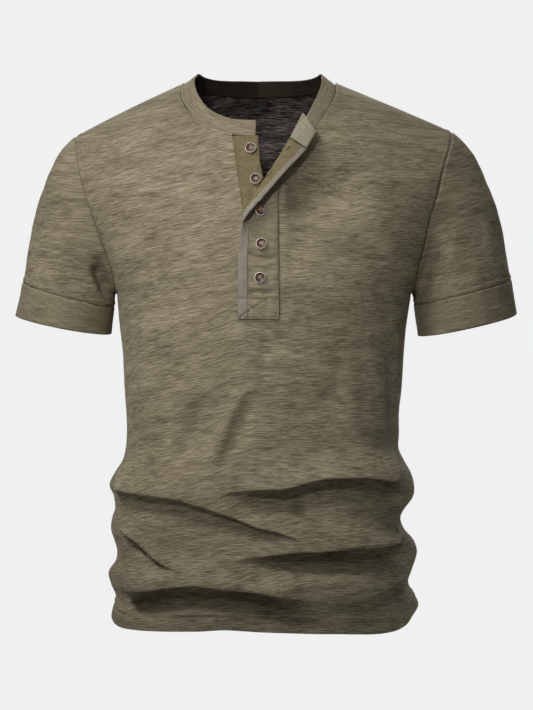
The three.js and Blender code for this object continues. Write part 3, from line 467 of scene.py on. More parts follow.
def grid_quads(rows, cols, closed=False):
    i, j = np.meshgrid(np.arange(rows - 1), np.arange(cols if closed else cols - 1), indexing="ij")
    j2 = (j + 1) % cols
    return np.stack([i * cols + j, i * cols + j2, (i + 1) * cols + j2, (i + 1) * cols + j], -1).reshape(-1, 4)


def grid_normals(P, closed=False):
    """Normals of a grid of points [row][col]; col runs across."""
    if closed:
        du = np.roll(P, -1, 1) - np.roll(P, 1, 1)
    else:
        du = np.gradient(P, axis=1)
    return unit(np.cross(du, np.gradient(P, axis=0)))


def inside_outline(x, z, outline):
    hit = np.zeros(x.shape, bool)
    for (xa, za), (xb, zb) in zip(outline, np.roll(outline, -1, 0)):
        if za == zb:
            continue
        cross = ((za > z) != (zb > z)) & (x < (xb - xa) * (z - za) / (zb - za) + xa)
        hit ^= cross
    return hit


def nearest_on(x, z, outline):
    best, bx, bz = np.full(x.shape, 1e9), x.copy(), z.copy()
    for (xa, za), (xb, zb) in zip(outline, np.roll(outline, -1, 0)):
        ex, ez = xb - xa, zb - za
        L = ex * ex + ez * ez
        if L == 0:
            continue
        t = np.clip(((x - xa) * ex + (z - za) * ez) / L, 0, 1)
        px, pz = xa + t * ex, za + t * ez
        d = (px - x) ** 2 + (pz - z) ** 2
        near = d < best
        best, bx, bz = np.where(near, d, best), np.where(near, px, bx), np.where(near, pz, bz)
    return bx, bz


def slant(u, z):
    """Courses drop a little towards the wearer's right."""
    s = np.where(u < 0, lerp(0.02, 0.2, smooth(-u / 60)), 0.02)
    return s * u * lerp(0.35, 1, smooth((z + 560) / 180))


# ------------------------------------------------------------------ materials
def link(tree, a, b):
    tree.links.new(a, b)


def node(tree, kind, **inputs):
    n = tree.nodes.new(kind)
    for k, v in inputs.items():
        if k.startswith("_"):
            setattr(n, k[1:], v)
        else:
            n.inputs[k.replace("__", " ")].default_value = v
    return n


def math_node(tree, op, a, b=None, clamp=False):
    n = tree.nodes.new("ShaderNodeMath")
    n.operation, n.use_clamp = op, clamp
    for k, v in enumerate((a, b)):
        if v is None:
            continue
        if isinstance(v, (int, float)):
            n.inputs[k].default_value = v
        else:
            tree.links.new(v, n.inputs[k])
    return n.outputs[0]


def ramp(tree, fac, stops, smooth_mode=True):
    n = tree.nodes.new("ShaderNodeValToRGB")
    n.color_ramp.interpolation = "EASE" if smooth_mode else "LINEAR"
    while len(n.color_ramp.elements) < len(stops):
        n.color_ramp.elements.new(0.5)
    for e, (p, c) in zip(n.color_ramp.elements, stops):
        e.position = p
        e.color = (*c, 1) if len(c) == 3 else c
    tree.links.new(fac, n.inputs[0])
    return n.outputs[0]


def mix_colour(tree, kind, fac, a, b):
    n = tree.nodes.new("ShaderNodeMix")
    n.data_type, n.blend_type = "RGBA", kind
    n.clamp_factor = True
    for sock, v in ((n.inputs[0], fac), (n.inputs[6], a), (n.inputs[7], b)):
        if isinstance(v, (int, float)):
            sock.default_value = v
        elif isinstance(v, tuple):
            sock.default_value = (*v, 1)
        else:
            tree.links.new(v, sock)
    return n.outputs[2]


def cloth_coords(tree, su, sv, ou=0.0, ov=0.0):
    """The cloth's own coordinates, a unit being a hundred millimetres; su and sv
    are the size of a feature in millimetres."""
    uv = tree.nodes.new("ShaderNodeUVMap")
    uv.uv_map = "Cloth"
    m = tree.nodes.new("ShaderNodeMapping")
    m.inputs["Scale"].default_value = (100 / su, 100 / sv, 1)
    m.inputs["Location"].default_value = (ou, ov, 0)
    tree.links.new(uv.outputs[0], m.inputs[0])
    return m.outputs[0]


def noise(tree, vector, detail=2.0, rough=0.5, distortion=0.0):
    n = tree.nodes.new("ShaderNodeTexNoise")
    n.noise_dimensions = "2D"
    n.inputs["Scale"].default_value = 1.0
    n.inputs["Detail"].default_value = detail
    n.inputs["Roughness"].default_value = rough
    n.inputs["Distortion"].default_value = distortion
    tree.links.new(vector, n.inputs["Vector"])
    return n.outputs[0]


def new_material(name):
    m = bpy.data.materials.new(name)
    m.use_nodes = True
    t = m.node_tree
    t.nodes.clear()
    out = t.nodes.new("ShaderNodeOutputMaterial")
    p = t.nodes.new("ShaderNodeBsdfPrincipled")
    t.links.new(p.outputs[0], out.inputs[0])
    return m, t, p


def bump(tree, height, strength, distance, after=None):
    b = tree.nodes.new("ShaderNodeBump")
    b.inputs["Strength"].default_value = strength
    b.inputs["Distance"].default_value = distance
    tree.links.new(height, b.inputs["Height"])
    if after is not None:
        tree.links.new(after, b.inputs["Normal"])
    return b.outputs[0]


def slub(name, dark, mid, light, contrast=1.0, offset=0.0, relief=1.0, sheen=0.12, grain=1.0):
    """Slub jersey: fine uneven streaks along the courses, broader soft bands, and
    the knit's own fine relief."""
    m, t, p = new_material(name)
    fine = noise(t, cloth_coords(t, 17, 1.25, offset, 1.3), 1.5, 0.5)
    finer = noise(t, cloth_coords(t, 6.5, 0.85, 3.1, offset), 1.0, 0.5)
    band = noise(t, cloth_coords(t, 52, 10, offset, 7.7), 1.0, 0.5)
    patch = noise(t, cloth_coords(t, 90, 48, 5.5, offset), 1.0, 0.5)
    streak = math_node(t, "ADD", math_node(t, "MULTIPLY", fine, 0.52), math_node(t, "MULTIPLY", finer, 0.26))
    streak = math_node(t, "ADD", streak, math_node(t, "MULTIPLY", band, 0.22))
    spread = 0.2 / contrast
    colour = ramp(t, streak, [(0.5 - spread, dark), (0.5, mid), (0.5 + spread, light)], False)
    shade = ramp(t, patch, [(0.3, (0.9, 0.9, 0.9)), (0.7, (1.08, 1.08, 1.08))], False)
    colour = mix_colour(t, "MULTIPLY", 1.0, colour, shade)
    # long thin pale slubs, here and there
    slubs = noise(t, cloth_coords(t, 24, 1.0, 9.2, offset + 2), 1.0, 0.4)
    picked = ramp(t, slubs, [(0.64, (0, 0, 0)), (0.76, (1, 1, 1))], False)
    colour = mix_colour(t, "MIX", math_node(t, "MULTIPLY", picked, 0.4 * contrast), colour, light)
    link(t, colour, p.inputs["Base Color"])
    knit = noise(t, cloth_coords(t, 0.75 * grain, 0.62 * grain, 0.3, 0.7), 1.0, 0.5)
    b = bump(t, streak, 0.6 * relief, 0.0010)
    b = bump(t, knit, 0.3 * relief, 0.0004, b)
    link(t, b, p.inputs["Normal"])
    rough = ramp(t, streak, [(0.3, (0.95, 0.95, 0.95)), (0.7, (0.84, 0.84, 0.84))], False)
    link(t, rough, p.inputs["Roughness"])
    p.inputs["Specular IOR Level"].default_value = 0.18
    p.inputs["Sheen Weight"].default_value = sheen
    p.inputs["Sheen Roughness"].default_value = 0.55
    p.inputs["Sheen Tint"].default_value = (0.86, 0.8, 0.66, 1)
    return m


def twill(name, dark, light, pitch=1.1, sheen=0.1, strength=0.5):
    """Twill: fine slanting ribs, with a slight mottle."""
    m, t, p = new_material(name)
    coords = cloth_coords(t, 100, 100)
    wave = t.nodes.new("ShaderNodeTexWave")
    wave.wave_type, wave.bands_direction = "BANDS", "DIAGONAL"
    wave.inputs["Scale"].default_value = 100 / pitch / 8
    wave.inputs["Distortion"].default_value = 0.9
    wave.inputs["Detail"].default_value = 1.0
    wave.inputs["Detail Scale"].default_value = 1.5
    link(t, coords, wave.inputs["Vector"])
    mottle = noise(t, cloth_coords(t, 7, 9, 1.1, 2.2), 2.5, 0.6)
    grain = noise(t, cloth_coords(t, 0.7, 2.6, 0.4, 0.2), 1.0, 0.5)
    f = math_node(t, "ADD", math_node(t, "MULTIPLY", wave.outputs[1], 0.1), math_node(t, "MULTIPLY", mottle, 0.6))
    f = math_node(t, "ADD", f, math_node(t, "MULTIPLY", grain, 0.3))
    link(t, ramp(t, f, [(0.3, dark), (0.7, light)], False), p.inputs["Base Color"])
    h = math_node(t, "ADD", wave.outputs[1], math_node(t, "MULTIPLY", grain, 0.6))
    link(t, bump(t, h, strength, 0.0003), p.inputs["Normal"])
    link(t, ramp(t, mottle, [(0.3, (0.9, 0.9, 0.9)), (0.7, (0.78, 0.78, 0.78))], False), p.inputs["Roughness"])
    p.inputs["Specular IOR Level"].default_value = 0.25
    p.inputs["Sheen Weight"].default_value = sheen
    p.inputs["Sheen Roughness"].default_value = 0.5
    return m


OLIVE = dict(dark=(0.135, 0.112, 0.070), mid=(0.232, 0.197, 0.130), light=(0.345, 0.300, 0.208))
jersey = slub("slub_jersey", contrast=1.5, relief=1.2, **OLIVE)
jersey_sleeve = slub("slub_jersey_sleeve", contrast=1.45, offset=3.7, relief=1.1, **OLIVE)
jersey_trim = slub("slub_jersey_trim", contrast=0.95, offset=8.1, relief=0.9, **OLIVE)
jersey_placket = slub("slub_jersey_placket", contrast=0.9, offset=5.3, relief=0.7, **OLIVE)
# painted shade: the inner faces of the panels, sleeves and cuffs get a cloth far darker than the outside, standing for
# the shade inside the shirt; only its pale streaks are the cloth's own pattern
jersey_painted_shade_inside = slub("slub_jersey_painted_shade_inside", (0.030, 0.021, 0.015), (0.074, 0.056, 0.048), (0.300, 0.248, 0.246), contrast=1.6, offset=1.9, sheen=0.05)
# painted shade: the neckband's inner face round the neck, painted dark and plain where it lies in shade; the same face
# shows pale at the turned end
jersey_neck_painted_shade_inside = slub("slub_jersey_neck_painted_shade_inside", (0.044, 0.031, 0.021), (0.056, 0.040, 0.028), (0.070, 0.051, 0.037), contrast=0.5, offset=2.4, sheen=0.03)
jersey_band_inside = slub("slub_jersey_band_inside", (0.21, 0.18, 0.125), (0.30, 0.265, 0.195), (0.40, 0.36, 0.28), contrast=0.6, offset=6.6, relief=0.5)
tan_twill = twill("tan_twill", (0.138, 0.106, 0.050), (0.218, 0.175, 0.094))
pale_tape = twill("pale_tape", (0.212, 0.190, 0.148), (0.292, 0.266, 0.212), pitch=0.75, strength=0.4)
black_tape = twill("black_tape", (0.007, 0.007, 0.008), (0.018, 0.018, 0.020), pitch=0.7)


def thread_material(name, colour):
    m, t, p = new_material(name)
    tc = t.nodes.new("ShaderNodeTexCoord")
    n = t.nodes.new("ShaderNodeTexNoise")
    n.inputs["Scale"].default_value = 1400
    n.inputs["Detail"].default_value = 1.0
    link(t, tc.outputs["Object"], n.inputs["Vector"])
    lo, hi = tuple(c * 0.72 for c in colour), tuple(min(1, c * 1.22) for c in colour)
    link(t, ramp(t, n.outputs[0], [(0.35, lo), (0.65, hi)], False), p.inputs["Base Color"])
    link(t, bump(t, n.outputs[0], 0.4, 0.0002), p.inputs["Normal"])
    p.inputs["Roughness"].default_value = 0.75
    return m


thread_olive = thread_material("thread_olive", (0.150, 0.122, 0.068))
thread_hem = thread_material("thread_hem", (0.31, 0.275, 0.195))
thread_tan = thread_material("thread_tan", (0.125, 0.098, 0.044))
thread_pale = thread_material("thread_pale", (0.42, 0.43, 0.36))


def button_materials():
    m, t, p = new_material("button_brown")
    tc = t.nodes.new("ShaderNodeTexCoord")
    a = t.nodes.new("ShaderNodeTexNoise")
    a.inputs["Scale"].default_value, a.inputs["Detail"].default_value = 260, 3.0
    a.inputs["Distortion"].default_value = 1.2
    link(t, tc.outputs["Object"], a.inputs["Vector"])
    v = t.nodes.new("ShaderNodeTexVoronoi")
    v.inputs["Scale"].default_value = 420
    link(t, tc.outputs["Object"], v.inputs["Vector"])
    f = math_node(t, "ADD", math_node(t, "MULTIPLY", a.outputs[0], 0.75), math_node(t, "MULTIPLY", v.outputs[0], 0.3))
    link(t, ramp(t, f, [(0.36, (0.014, 0.007, 0.004)), (0.52, (0.105, 0.034, 0.011)), (0.70, (0.30, 0.115, 0.036))], False), p.inputs["Base Color"])
    link(t, bump(t, a.outputs[0], 0.25, 0.0002), p.inputs["Normal"])
    p.inputs["Roughness"].default_value = 0.34
    p.inputs["Coat Weight"].default_value = 0.25
    r, t2, p2 = new_material("button_rim")
    tc = t2.nodes.new("ShaderNodeTexCoord")
    n = t2.nodes.new("ShaderNodeTexNoise")
    n.inputs["Scale"].default_value = 500
    link(t2, tc.outputs["Object"], n.inputs["Vector"])
    link(t2, ramp(t2, n.outputs[0], [(0.3, (0.56, 0.50, 0.45)), (0.7, (0.76, 0.71, 0.65))], False), p2.inputs["Base Color"])
    link(t2, bump(t2, n.outputs[0], 0.15, 0.0001), p2.inputs["Normal"])
    p2.inputs["Roughness"].default_value = 0.42
    d, t3, p3 = new_material("button_ring")
    tc = t3.nodes.new("ShaderNodeTexCoord")
    n = t3.nodes.new("ShaderNodeTexNoise")
    n.inputs["Scale"].default_value = 380
    link(t3, tc.outputs["Object"], n.inputs["Vector"])
    link(t3, ramp(t3, n.outputs[0], [(0.3, (0.012, 0.006, 0.004)), (0.7, (0.055, 0.022, 0.010))], False), p3.inputs["Base Color"])
    link(t3, bump(t3, n.outputs[0], 0.15, 0.0001), p3.inputs["Normal"])
    p3.inputs["Roughness"].default_value = 0.36
    return m, r, d


button_brown, button_rim, button_ring = button_materials()

# ------------------------------------------------------------------ body panels
lump_big, lump_small = waves(14, 60, 150, 3), waves(18, 18, 45, 11)
neck = {k: path(v) for k, v in NECKLINE.items()}


def neck_line(side, steps, u0=0.0, u1=1.0):
    p = neck[side](np.linspace(u0, u1, steps + 1))
    return np.stack([p["x"], p["z"]], 1)


def stand_edge(z):
    return lerp(-30.0, -19.0, smooth((-62 - np.asarray(z, float)) / 96))


overlap_seam = track(OVERLAP["seamZ"], OVERLAP["seamX"])
down = np.array([-64, -75, -88, -100, -115, -130, -145, -160, -180, -200, -230, SLIT_FOOT_Z])
up = down[::-1][:-1]
front_outline = np.concatenate([
    [[-87.5, 60]], neck_line("right", 60, 0, 0.84), np.stack([stand_edge(down), down], 1),
    np.stack([overlap_seam(up) - 2.2, up], 1), neck_line("left", 50)[::-1], [[87.5, 60]],
])
back_outline = np.concatenate([[[-87.5, 60]], neck_line("back", 80), [[87.5, 60]]])


def panel(face, cols, low, middle, arm):
    s = np.linspace(-1, 1, cols + 1)
    sign = np.where(s < 0, -1.0, 1.0)
    hem = HEM_AT[face](s)
    w = np.concatenate([np.linspace(0, 0.53, low + 1)[:-1], np.linspace(0.53, 1, middle + 1)])
    z_low = hem[None, :] + (ARMPIT_Z - hem[None, :]) * w[:, None]

    def x_at(z):
        k = across_at(z)
        return sign * edge_at(sign, z) * np.sin(np.abs(s) * k) / np.sin(k)
    x_low = x_at(z_low)
    tip = np.where(s < 0, SHOULDER["right"]["tip"], SHOULDER["left"]["tip"]) * sign
    k0 = across_at(np.array(0.0))
    top_x = tip * np.sin(np.abs(s) * k0) / np.sin(k0)
    top_z = shoulder_z(top_x)
    t = arm_t(np.arange(1, arm + 1), arm)[:, None]
    z_arm = ARMPIT_Z + (top_z[None, :] - ARMPIT_Z) * t
    x_arm = x_at(np.minimum(z_arm, shoulder_z(tip)[None, :]))
    x_arm[-1] = top_x
    z_arm = np.minimum(z_arm, shoulder_z(x_arm))
    X, Z = np.concatenate([x_low, x_arm]), np.concatenate([z_low, z_arm])
    rows = len(X)

    outline = front_outline if face == "front" else back_outline
    inside = inside_outline(X, Z, outline)
    quads = grid_quads(rows, cols + 1)
    keep = ~inside.ravel()[quads].all(1)
    bx, bz = nearest_on(X, Z, outline)
    X, Z = np.where(inside, bx, X), np.where(inside, bz, Z)

    P = body(face, X, Z)
    y_seam = (-1 if face == "front" else 1) * SEAM / 2
    top = ~inside[-1]
    P[-1, top, 1] = y_seam
    # unevenness, drags, hem and seams, along the surface's own direction
    N = grid_normals(P)
    if (N[:, cols // 2, 1].mean() > 0) == (face == "front"):
        N = -N
    edge_run = np.linalg.norm(np.diff(P, axis=1), axis=2)
    from_right = np.concatenate([np.zeros((rows, 1)), np.cumsum(edge_run, 1)], 1)
    from_left = from_right[:, -1:] - from_right
    side_dist = np.minimum(from_right, from_left)
    near_edge = smooth(side_dist / 22)
    near_top = smooth((shoulder_z(X) - Z) / 26)
    ndx, ndz = nearest_on(X, Z, outline)
    neck_dist = np.hypot(X - ndx, Z - ndz)
    calm = near_edge * near_top * smooth(neck_dist / 16)
    under = smooth((np.abs(X + 2) - 27) / 9) if face == "front" else 1.0
    if face == "front":
        under = np.where(Z < -276, np.maximum(under, smooth((-276 - Z) / 10)), under)
    amount = lerp(0.5, 0.95, smooth((-330 - Z) / 120))
    E = (lump_big(X, Z + (0 if face == "front" else 700)) * 1.1 * amount
         + lump_small(X, Z + (0 if face == "front" else 400)) * 0.34 * amount) * calm * under
    drags = drag_shape(face, X, Z)
    near_drag = smooth(side_dist / 9) * near_top * smooth(neck_dist / 14)
    if face == "front":
        small = drag_shape(face, X, Z, [d for d in DRAGS if abs(d["rise"]) < 1.55 and d["x0"] > -32 and d["x0"] < -24])
        E += (drags - small) * near_drag * np.where(Z < -272, np.maximum(under, smooth((-272 - Z) / 8)), under) + small
    else:
        E += drags * near_drag
    # hem: a stitched groove 17 mm up, the turning a little fuller below it
    hem_up = Z - hem[None, :]
    pucker = 0.22 * np.sin(X / 2.3 + 1.2 * np.sin(X / 11)) * np.exp(-((hem_up - 17) / 6) ** 2)
    E += (-0.95 * np.exp(-((hem_up - 15.6) / 1.8) ** 2) + 0.8 * np.exp(-((hem_up - 19) / 1.7) ** 2) + 0.3 * smooth(1 - np.abs(hem_up - 8) / 7) + pucker) * smooth(side_dist / 3)
    # armhole: the seam is a valley with a low flat ridge beside it
    arm_rows = (Z > ARMPIT_Z + 3)
    E += np.where(arm_rows, -1.2 * np.exp(-(side_dist / 1.5) ** 2) + 0.5 * smooth(1 - np.abs(side_dist - 4) / 3)
                  - 0.55 * np.exp(-((side_dist - 7.4) / 0.9) ** 2), 0) * smooth((Z - ARMPIT_Z - 3) / 14)
    # side seam: a slight valley
    E += np.where(arm_rows, 0, -0.7 * np.exp(-(side_dist / 2.0) ** 2) + 0.3 * np.exp(-((side_dist - 4) / 2.2) ** 2))
    # neckline seam
    E += (-0.35 * np.exp(-(neck_dist / 1.0) ** 2) + 0.3 * smooth(1 - np.abs(neck_dist - 3) / 2.4)) * (Z > -70)
    P = P + N * E[..., None]

    mid_col = cols // 2
    U = from_right - from_right[:, mid_col:mid_col + 1]
    # over the shoulders the courses are counted along the cloth, not by height
    rise = np.linalg.norm(np.diff(P[..., 1:], axis=0), axis=2) - np.abs(np.diff(P[..., 2], axis=0))
    rise = np.where(P[1:, :, 2] > -120, np.maximum(rise, 0), 0) * smooth((P[1:, :, 2] + 120) / 50)
    over = np.concatenate([np.zeros((1, cols + 1)), np.cumsum(rise, 0)])
    for _ in range(8):
        over[:, 1:-1] = (over[:, :-2] + 2 * over[:, 1:-1] + over[:, 2:]) / 4
    V2 = Z + over - slant(U, Z)
    uv = np.stack([U, V2], -1).reshape(-1, 2)
    thick = lerp(HEM_CLOTH, CLOTH, smooth((hem_up - 15) / 3)).ravel()
    used = quads[keep]
    idx = np.unique(used)
    remap = np.full(rows * (cols + 1), -1)
    remap[idx] = np.arange(len(idx))
    verts = P.reshape(-1, 3)
    # wall directions: along the armhole they match the sleeve's, along the
    # side seam and shoulder seam they stay in the seam's plane
    Q = remap[used]
    VV = verts[idx]
    probe = vertex_normals(VV, Q)
    flip = (probe[:, 1].mean() > 0) == (face == "front")
    NN = vertex_normals(VV, Q[:, ::-1] if flip else Q)
    full = np.zeros((rows * (cols + 1), 3))
    full[idx] = NN
    full = full.reshape(rows, cols + 1, 3)
    low_rows = len(w)
    for c, sg in ((0, -1), (cols, 1)):
        wall = armhole_wall(sg, P[:, c, 1], P[:, c, 2])
        full[low_rows:, c] = wall[low_rows:]
        full[:low_rows, c, 1] = 0
        full[low_rows - 1, c] = [sg, 0, 0]
    full[-1, :, 1] = 0
    NN = unit(full.reshape(-1, 3)[idx])
    ob = shell(f"{face}_panel", VV, Q, uv[idx], thick[idx], [jersey, jersey_painted_shade_inside], flip, NN)
    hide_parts(face)
    return dict(ob=ob, P=P, hem=P[0], side_dist=side_dist, cols=cols, rows=rows, low=low_rows, N=full)


front = panel("front", 132, 142, 56, 62)
back = panel("back", 112, 112, 44, 50)


# ------------------------------------------------------------------ sleeves and cuffs
def sleeve(name):
    S, rows_f = SLEEVES[name], 46
    sign = S["side"]
    f, b = armhole_points("front", sign, rows_f), armhole_points("back", sign, rows_f)
    loop = np.concatenate([f[::-1], b[1:-1]])
    loop[0, 1] = loop[rows_f, 1] = 0
    n = len(loop)
    wall = armhole_wall(sign, loop[:, 1], loop[:, 2])
    wall[[0, rows_f], 1] = 0
    wall = unit(wall)
    tangent = unit(np.roll(loop, -1, 0) - np.roll(loop, 1, 0))
    away = unit(np.cross(tangent, wall))
    away = np.where(away[:, :1] * sign < 0, -away, away)
    for _ in range(6):
        away = unit((np.roll(away, 1, 0) + 2 * away + np.roll(away, -1, 0)) / 4)
    lean_in = (away[:, 1] * loop[:, 1] < 0) & (loop[:, 2] > -130)
    away[:, 1] = np.where(lean_in, away[:, 1] * smooth(np.abs(loop[:, 1]) / 34), away[:, 1])
    away = unit(away)
    step = np.linalg.norm(np.roll(loop, -1, 0) - loop, axis=1)
    angle = np.zeros(n)
    for lo, hi, a0 in ((0, rows_f, 0.0), (rows_f, n, math.pi)):
        run = np.concatenate([[0], np.cumsum(step[lo:hi])])
        angle[lo:hi] = a0 + math.pi * run[:-1] / run[-1]

    def ring(out, inn, a, grow=0.0):
        cx, cz = (out[0] + inn[0]) / 2, (out[1] + inn[1]) / 2
        hx, hz = (out[0] - inn[0]) / 2, (out[1] - inn[1]) / 2
        k = 1 + grow / S["depth"]
        return np.stack([cx + hx * np.cos(a) * k, -S["depth"] * np.sin(a) * k, cz + hz * np.cos(a) * k - S["dip"] * np.sin(a)], -1)
    axis = unit(np.array([S["endOut"][0] + S["endIn"][0] - S["seamOut"][0] - S["seamIn"][0], 0.0,
                          S["endOut"][1] + S["endIn"][1] - S["seamOut"][1] - S["seamIn"][1]]))
    start = loop + away * (SEAM + 0.05)
    target = ring(S["seamOut"], S["seamIn"], angle)
    chord = np.linalg.norm(target - start, axis=1)[:, None]
    c0, c1 = start + away * chord * 0.26, target - axis * chord * 0.34
    rows = 64
    t = np.linspace(0, 1, rows + 1)
    t = (t + 0.12 * np.sin(2 * np.pi * t) / (2 * np.pi) * -1)[:, None, None]
    w = 1 - t
    P = start * w ** 3 + c0 * 3 * w * w * t + c1 * 3 * w * t * t + target * t ** 3
    N = grid_normals(P, True)
    if N[rows // 2, 0, 2] < 0:
        N = -N
    run = np.concatenate([np.zeros((1, n)), np.cumsum(np.linalg.norm(np.diff(P, axis=0), axis=2), 0)])
    to_cuff = run[-1:] - run
    X, Z = P[..., 0], P[..., 2]
    calm = smooth(run / 16) * smooth(to_cuff / 14)
    shift = 300 if sign < 0 else 900
    E = (lump_big(X + shift, Z + P[..., 1]) * 1.0 + lump_small(X + shift, Z + P[..., 1]) * 0.35) * calm
    facing_front = smooth((-P[..., 1] - 6) / 16)
    facing_back = smooth((P[..., 1] - 6) / 16)
    drags = drag_shape("sleeve_" + name, X, Z)
    E += drags * (facing_front + 0.8 * facing_back) * smooth(run / 8) * smooth(to_cuff / 5)
    # underarm hollows
    bottom = smooth((np.cos(angle)[None, :] * -1 - 0.35) / 0.5)
    E += 1.3 * np.sin(run / 7.5 + 1.4 * np.sin(angle * 3)[None, :]) * bottom * calm
    E += -1.1 * np.exp(-(run / 1.3) ** 2) + 0.35 * smooth(1 - np.abs(run - 3) / 2.5)
    E += -0.7 * np.exp(-(to_cuff / 1.4) ** 2) + 0.45 * smooth(1 - np.abs(to_cuff - 4) / 3) - 0.3 * np.exp(-((to_cuff - 7.5) / 0.9) ** 2)
    P = P + N * E[..., None]
    NN = grid_normals(P, True)
    if NN[rows // 2, 0, 2] < 0:
        NN = -NN
    NN[0] = wall
    radius = (S["depth"] + np.hypot(S["seamOut"][0] - S["seamIn"][0], S["seamOut"][1] - S["seamIn"][1]) / 2) / 2
    lean = 0.07 if sign < 0 else -0.27
    V2 = Z + lean * X
    cols = n
    Q = grid_quads(rows + 1, cols, True)
    # mirrored round the front and the back, so that the pattern closes on itself
    round_run = radius * np.where(angle > math.pi, 2 * math.pi - angle, angle)
    uv = np.stack([np.broadcast_to(round_run[None, :], X.shape), V2], -1).reshape(-1, 2)
    Vf = P.reshape(-1, 3)
    probe = vertex_normals(Vf, Q).reshape(rows + 1, cols, 3)
    flip = (probe[rows // 2, 0, 2] < 0)
    ob = shell(f"sleeve_{name}_cloth", Vf, Q, uv, CLOTH, [jersey_sleeve, jersey_painted_shade_inside], flip, NN.reshape(-1, 3))
    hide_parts(f"sleeve_{name}")

    # the cuff: double cloth, a closed section swept round the ring
    radial = np.stack([np.cos(angle) * sign, -np.sin(angle), np.zeros(n)], -1)
    radial = unit(radial - axis * (radial @ axis)[:, None])
    steps = 22
    tt = np.linspace(0, 1, steps + 1)
    top, end = ring(S["seamOut"], S["seamIn"], angle), ring(S["endOut"], S["endIn"], angle)
    C = top[None] + (end - top)[None] * tt[:, None, None] + axis * (SEAM * (1 - tt) + 0.05)[:, None, None] + radial[None] * 0.5
    length = np.linalg.norm(end - top, axis=1).mean()
    s_run = tt[:, None] * length * np.ones((1, n))
    E = lump_small(C[..., 0] * 0.8 + shift, C[..., 2] * 0.7 + C[..., 1]) * 0.4 * smooth(s_run / 6)
    E += lump_big(C[..., 0] + shift, C[..., 2] + C[..., 1] * 0.8) * 0.7 * smooth(s_run / 20)
    E += -0.5 * np.exp(-(s_run / 1.3) ** 2)
    crease = -238.0 if sign < 0 else 262.0
    E += -0.9 * np.exp(-((C[..., 0] - crease) / 3.0) ** 2) * (C[..., 1] < 0) * smooth(s_run / 5)
    C = C + radial[None] * E[..., None]
    Qc = grid_quads(steps + 1, n, True)
    uvc = np.stack([(radius * np.where(angle > math.pi, 2 * math.pi - angle, angle))[None, :] * np.ones((steps + 1, 1)),
                    -s_run + 40 + (3 if sign < 0 else 9)], -1).reshape(-1, 2)
    Vc = C.reshape(-1, 3)
    probe = vertex_normals(Vc, Qc)
    flip = (probe.reshape(steps + 1, n, 3)[steps // 2, 0] @ np.array([sign, 0, 0])) < 0
    cuff = shell(f"cuff_{name}_cloth", Vc, Qc, uvc, CUFF_WALL, [jersey_trim, jersey_painted_shade_inside], flip)
    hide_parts(f"cuff_{name}")
    return dict(ob=ob, cuff=cuff, P=P, loop=loop, wall=wall, away=away, C=C, N=NN, n=n)


sleeves = {k: sleeve(k) for k in ("right", "left")}


# ------------------------------------------------------------------ placket
def overlap_rows(R, steps, start=None):
    s = on_front(R["seamX"], R["seamZ"], OUT)[0] if start is None else start
    m = on_front(R["rollX"], R["rollZ"], OUT + R["lift"] * 0.45)[0]
    e = on_front(R["edgeX"], R["edgeZ"], OUT + R["lift"])[0]
    turn = smooth(R["lift"] / 9)[:, None]
    out = np.array([0.0, -1.0, 0.0])
    bow = R["bow"][:, None]
    a1 = s + (m - s) * 0.62
    a1[:, 1] = lerp(a1[:, 1], on_front(lerp(R["seamX"], R["rollX"], 0.8), R["rollZ"], OUT)[0][:, 1], turn[:, 0])
    c1 = lerp(m + unit(s - m) * 6, m - out * bow, turn)
    c2 = lerp(m + unit(e - m) * 4, m + out * bow, turn)
    a2 = m + (e - m) * 0.62
    a2[:, 1] = lerp(a2[:, 1], e[:, 1], turn[:, 0])

    def bezier(p0, p1, p2, p3, t):
        w = 1 - t
        return p0 * w ** 3 + p1 * 3 * w * w * t + p2 * 3 * w * t * t + p3 * t ** 3
    half = steps // 2
    cols = [bezier(s, a1, c1, m, i / half) for i in range(half)]
    cols += [bezier(m, c2, a2, e, i / half) for i in range(half + 1)]
    return np.stack(cols, 1)


overlap_path = path(OVERLAP)


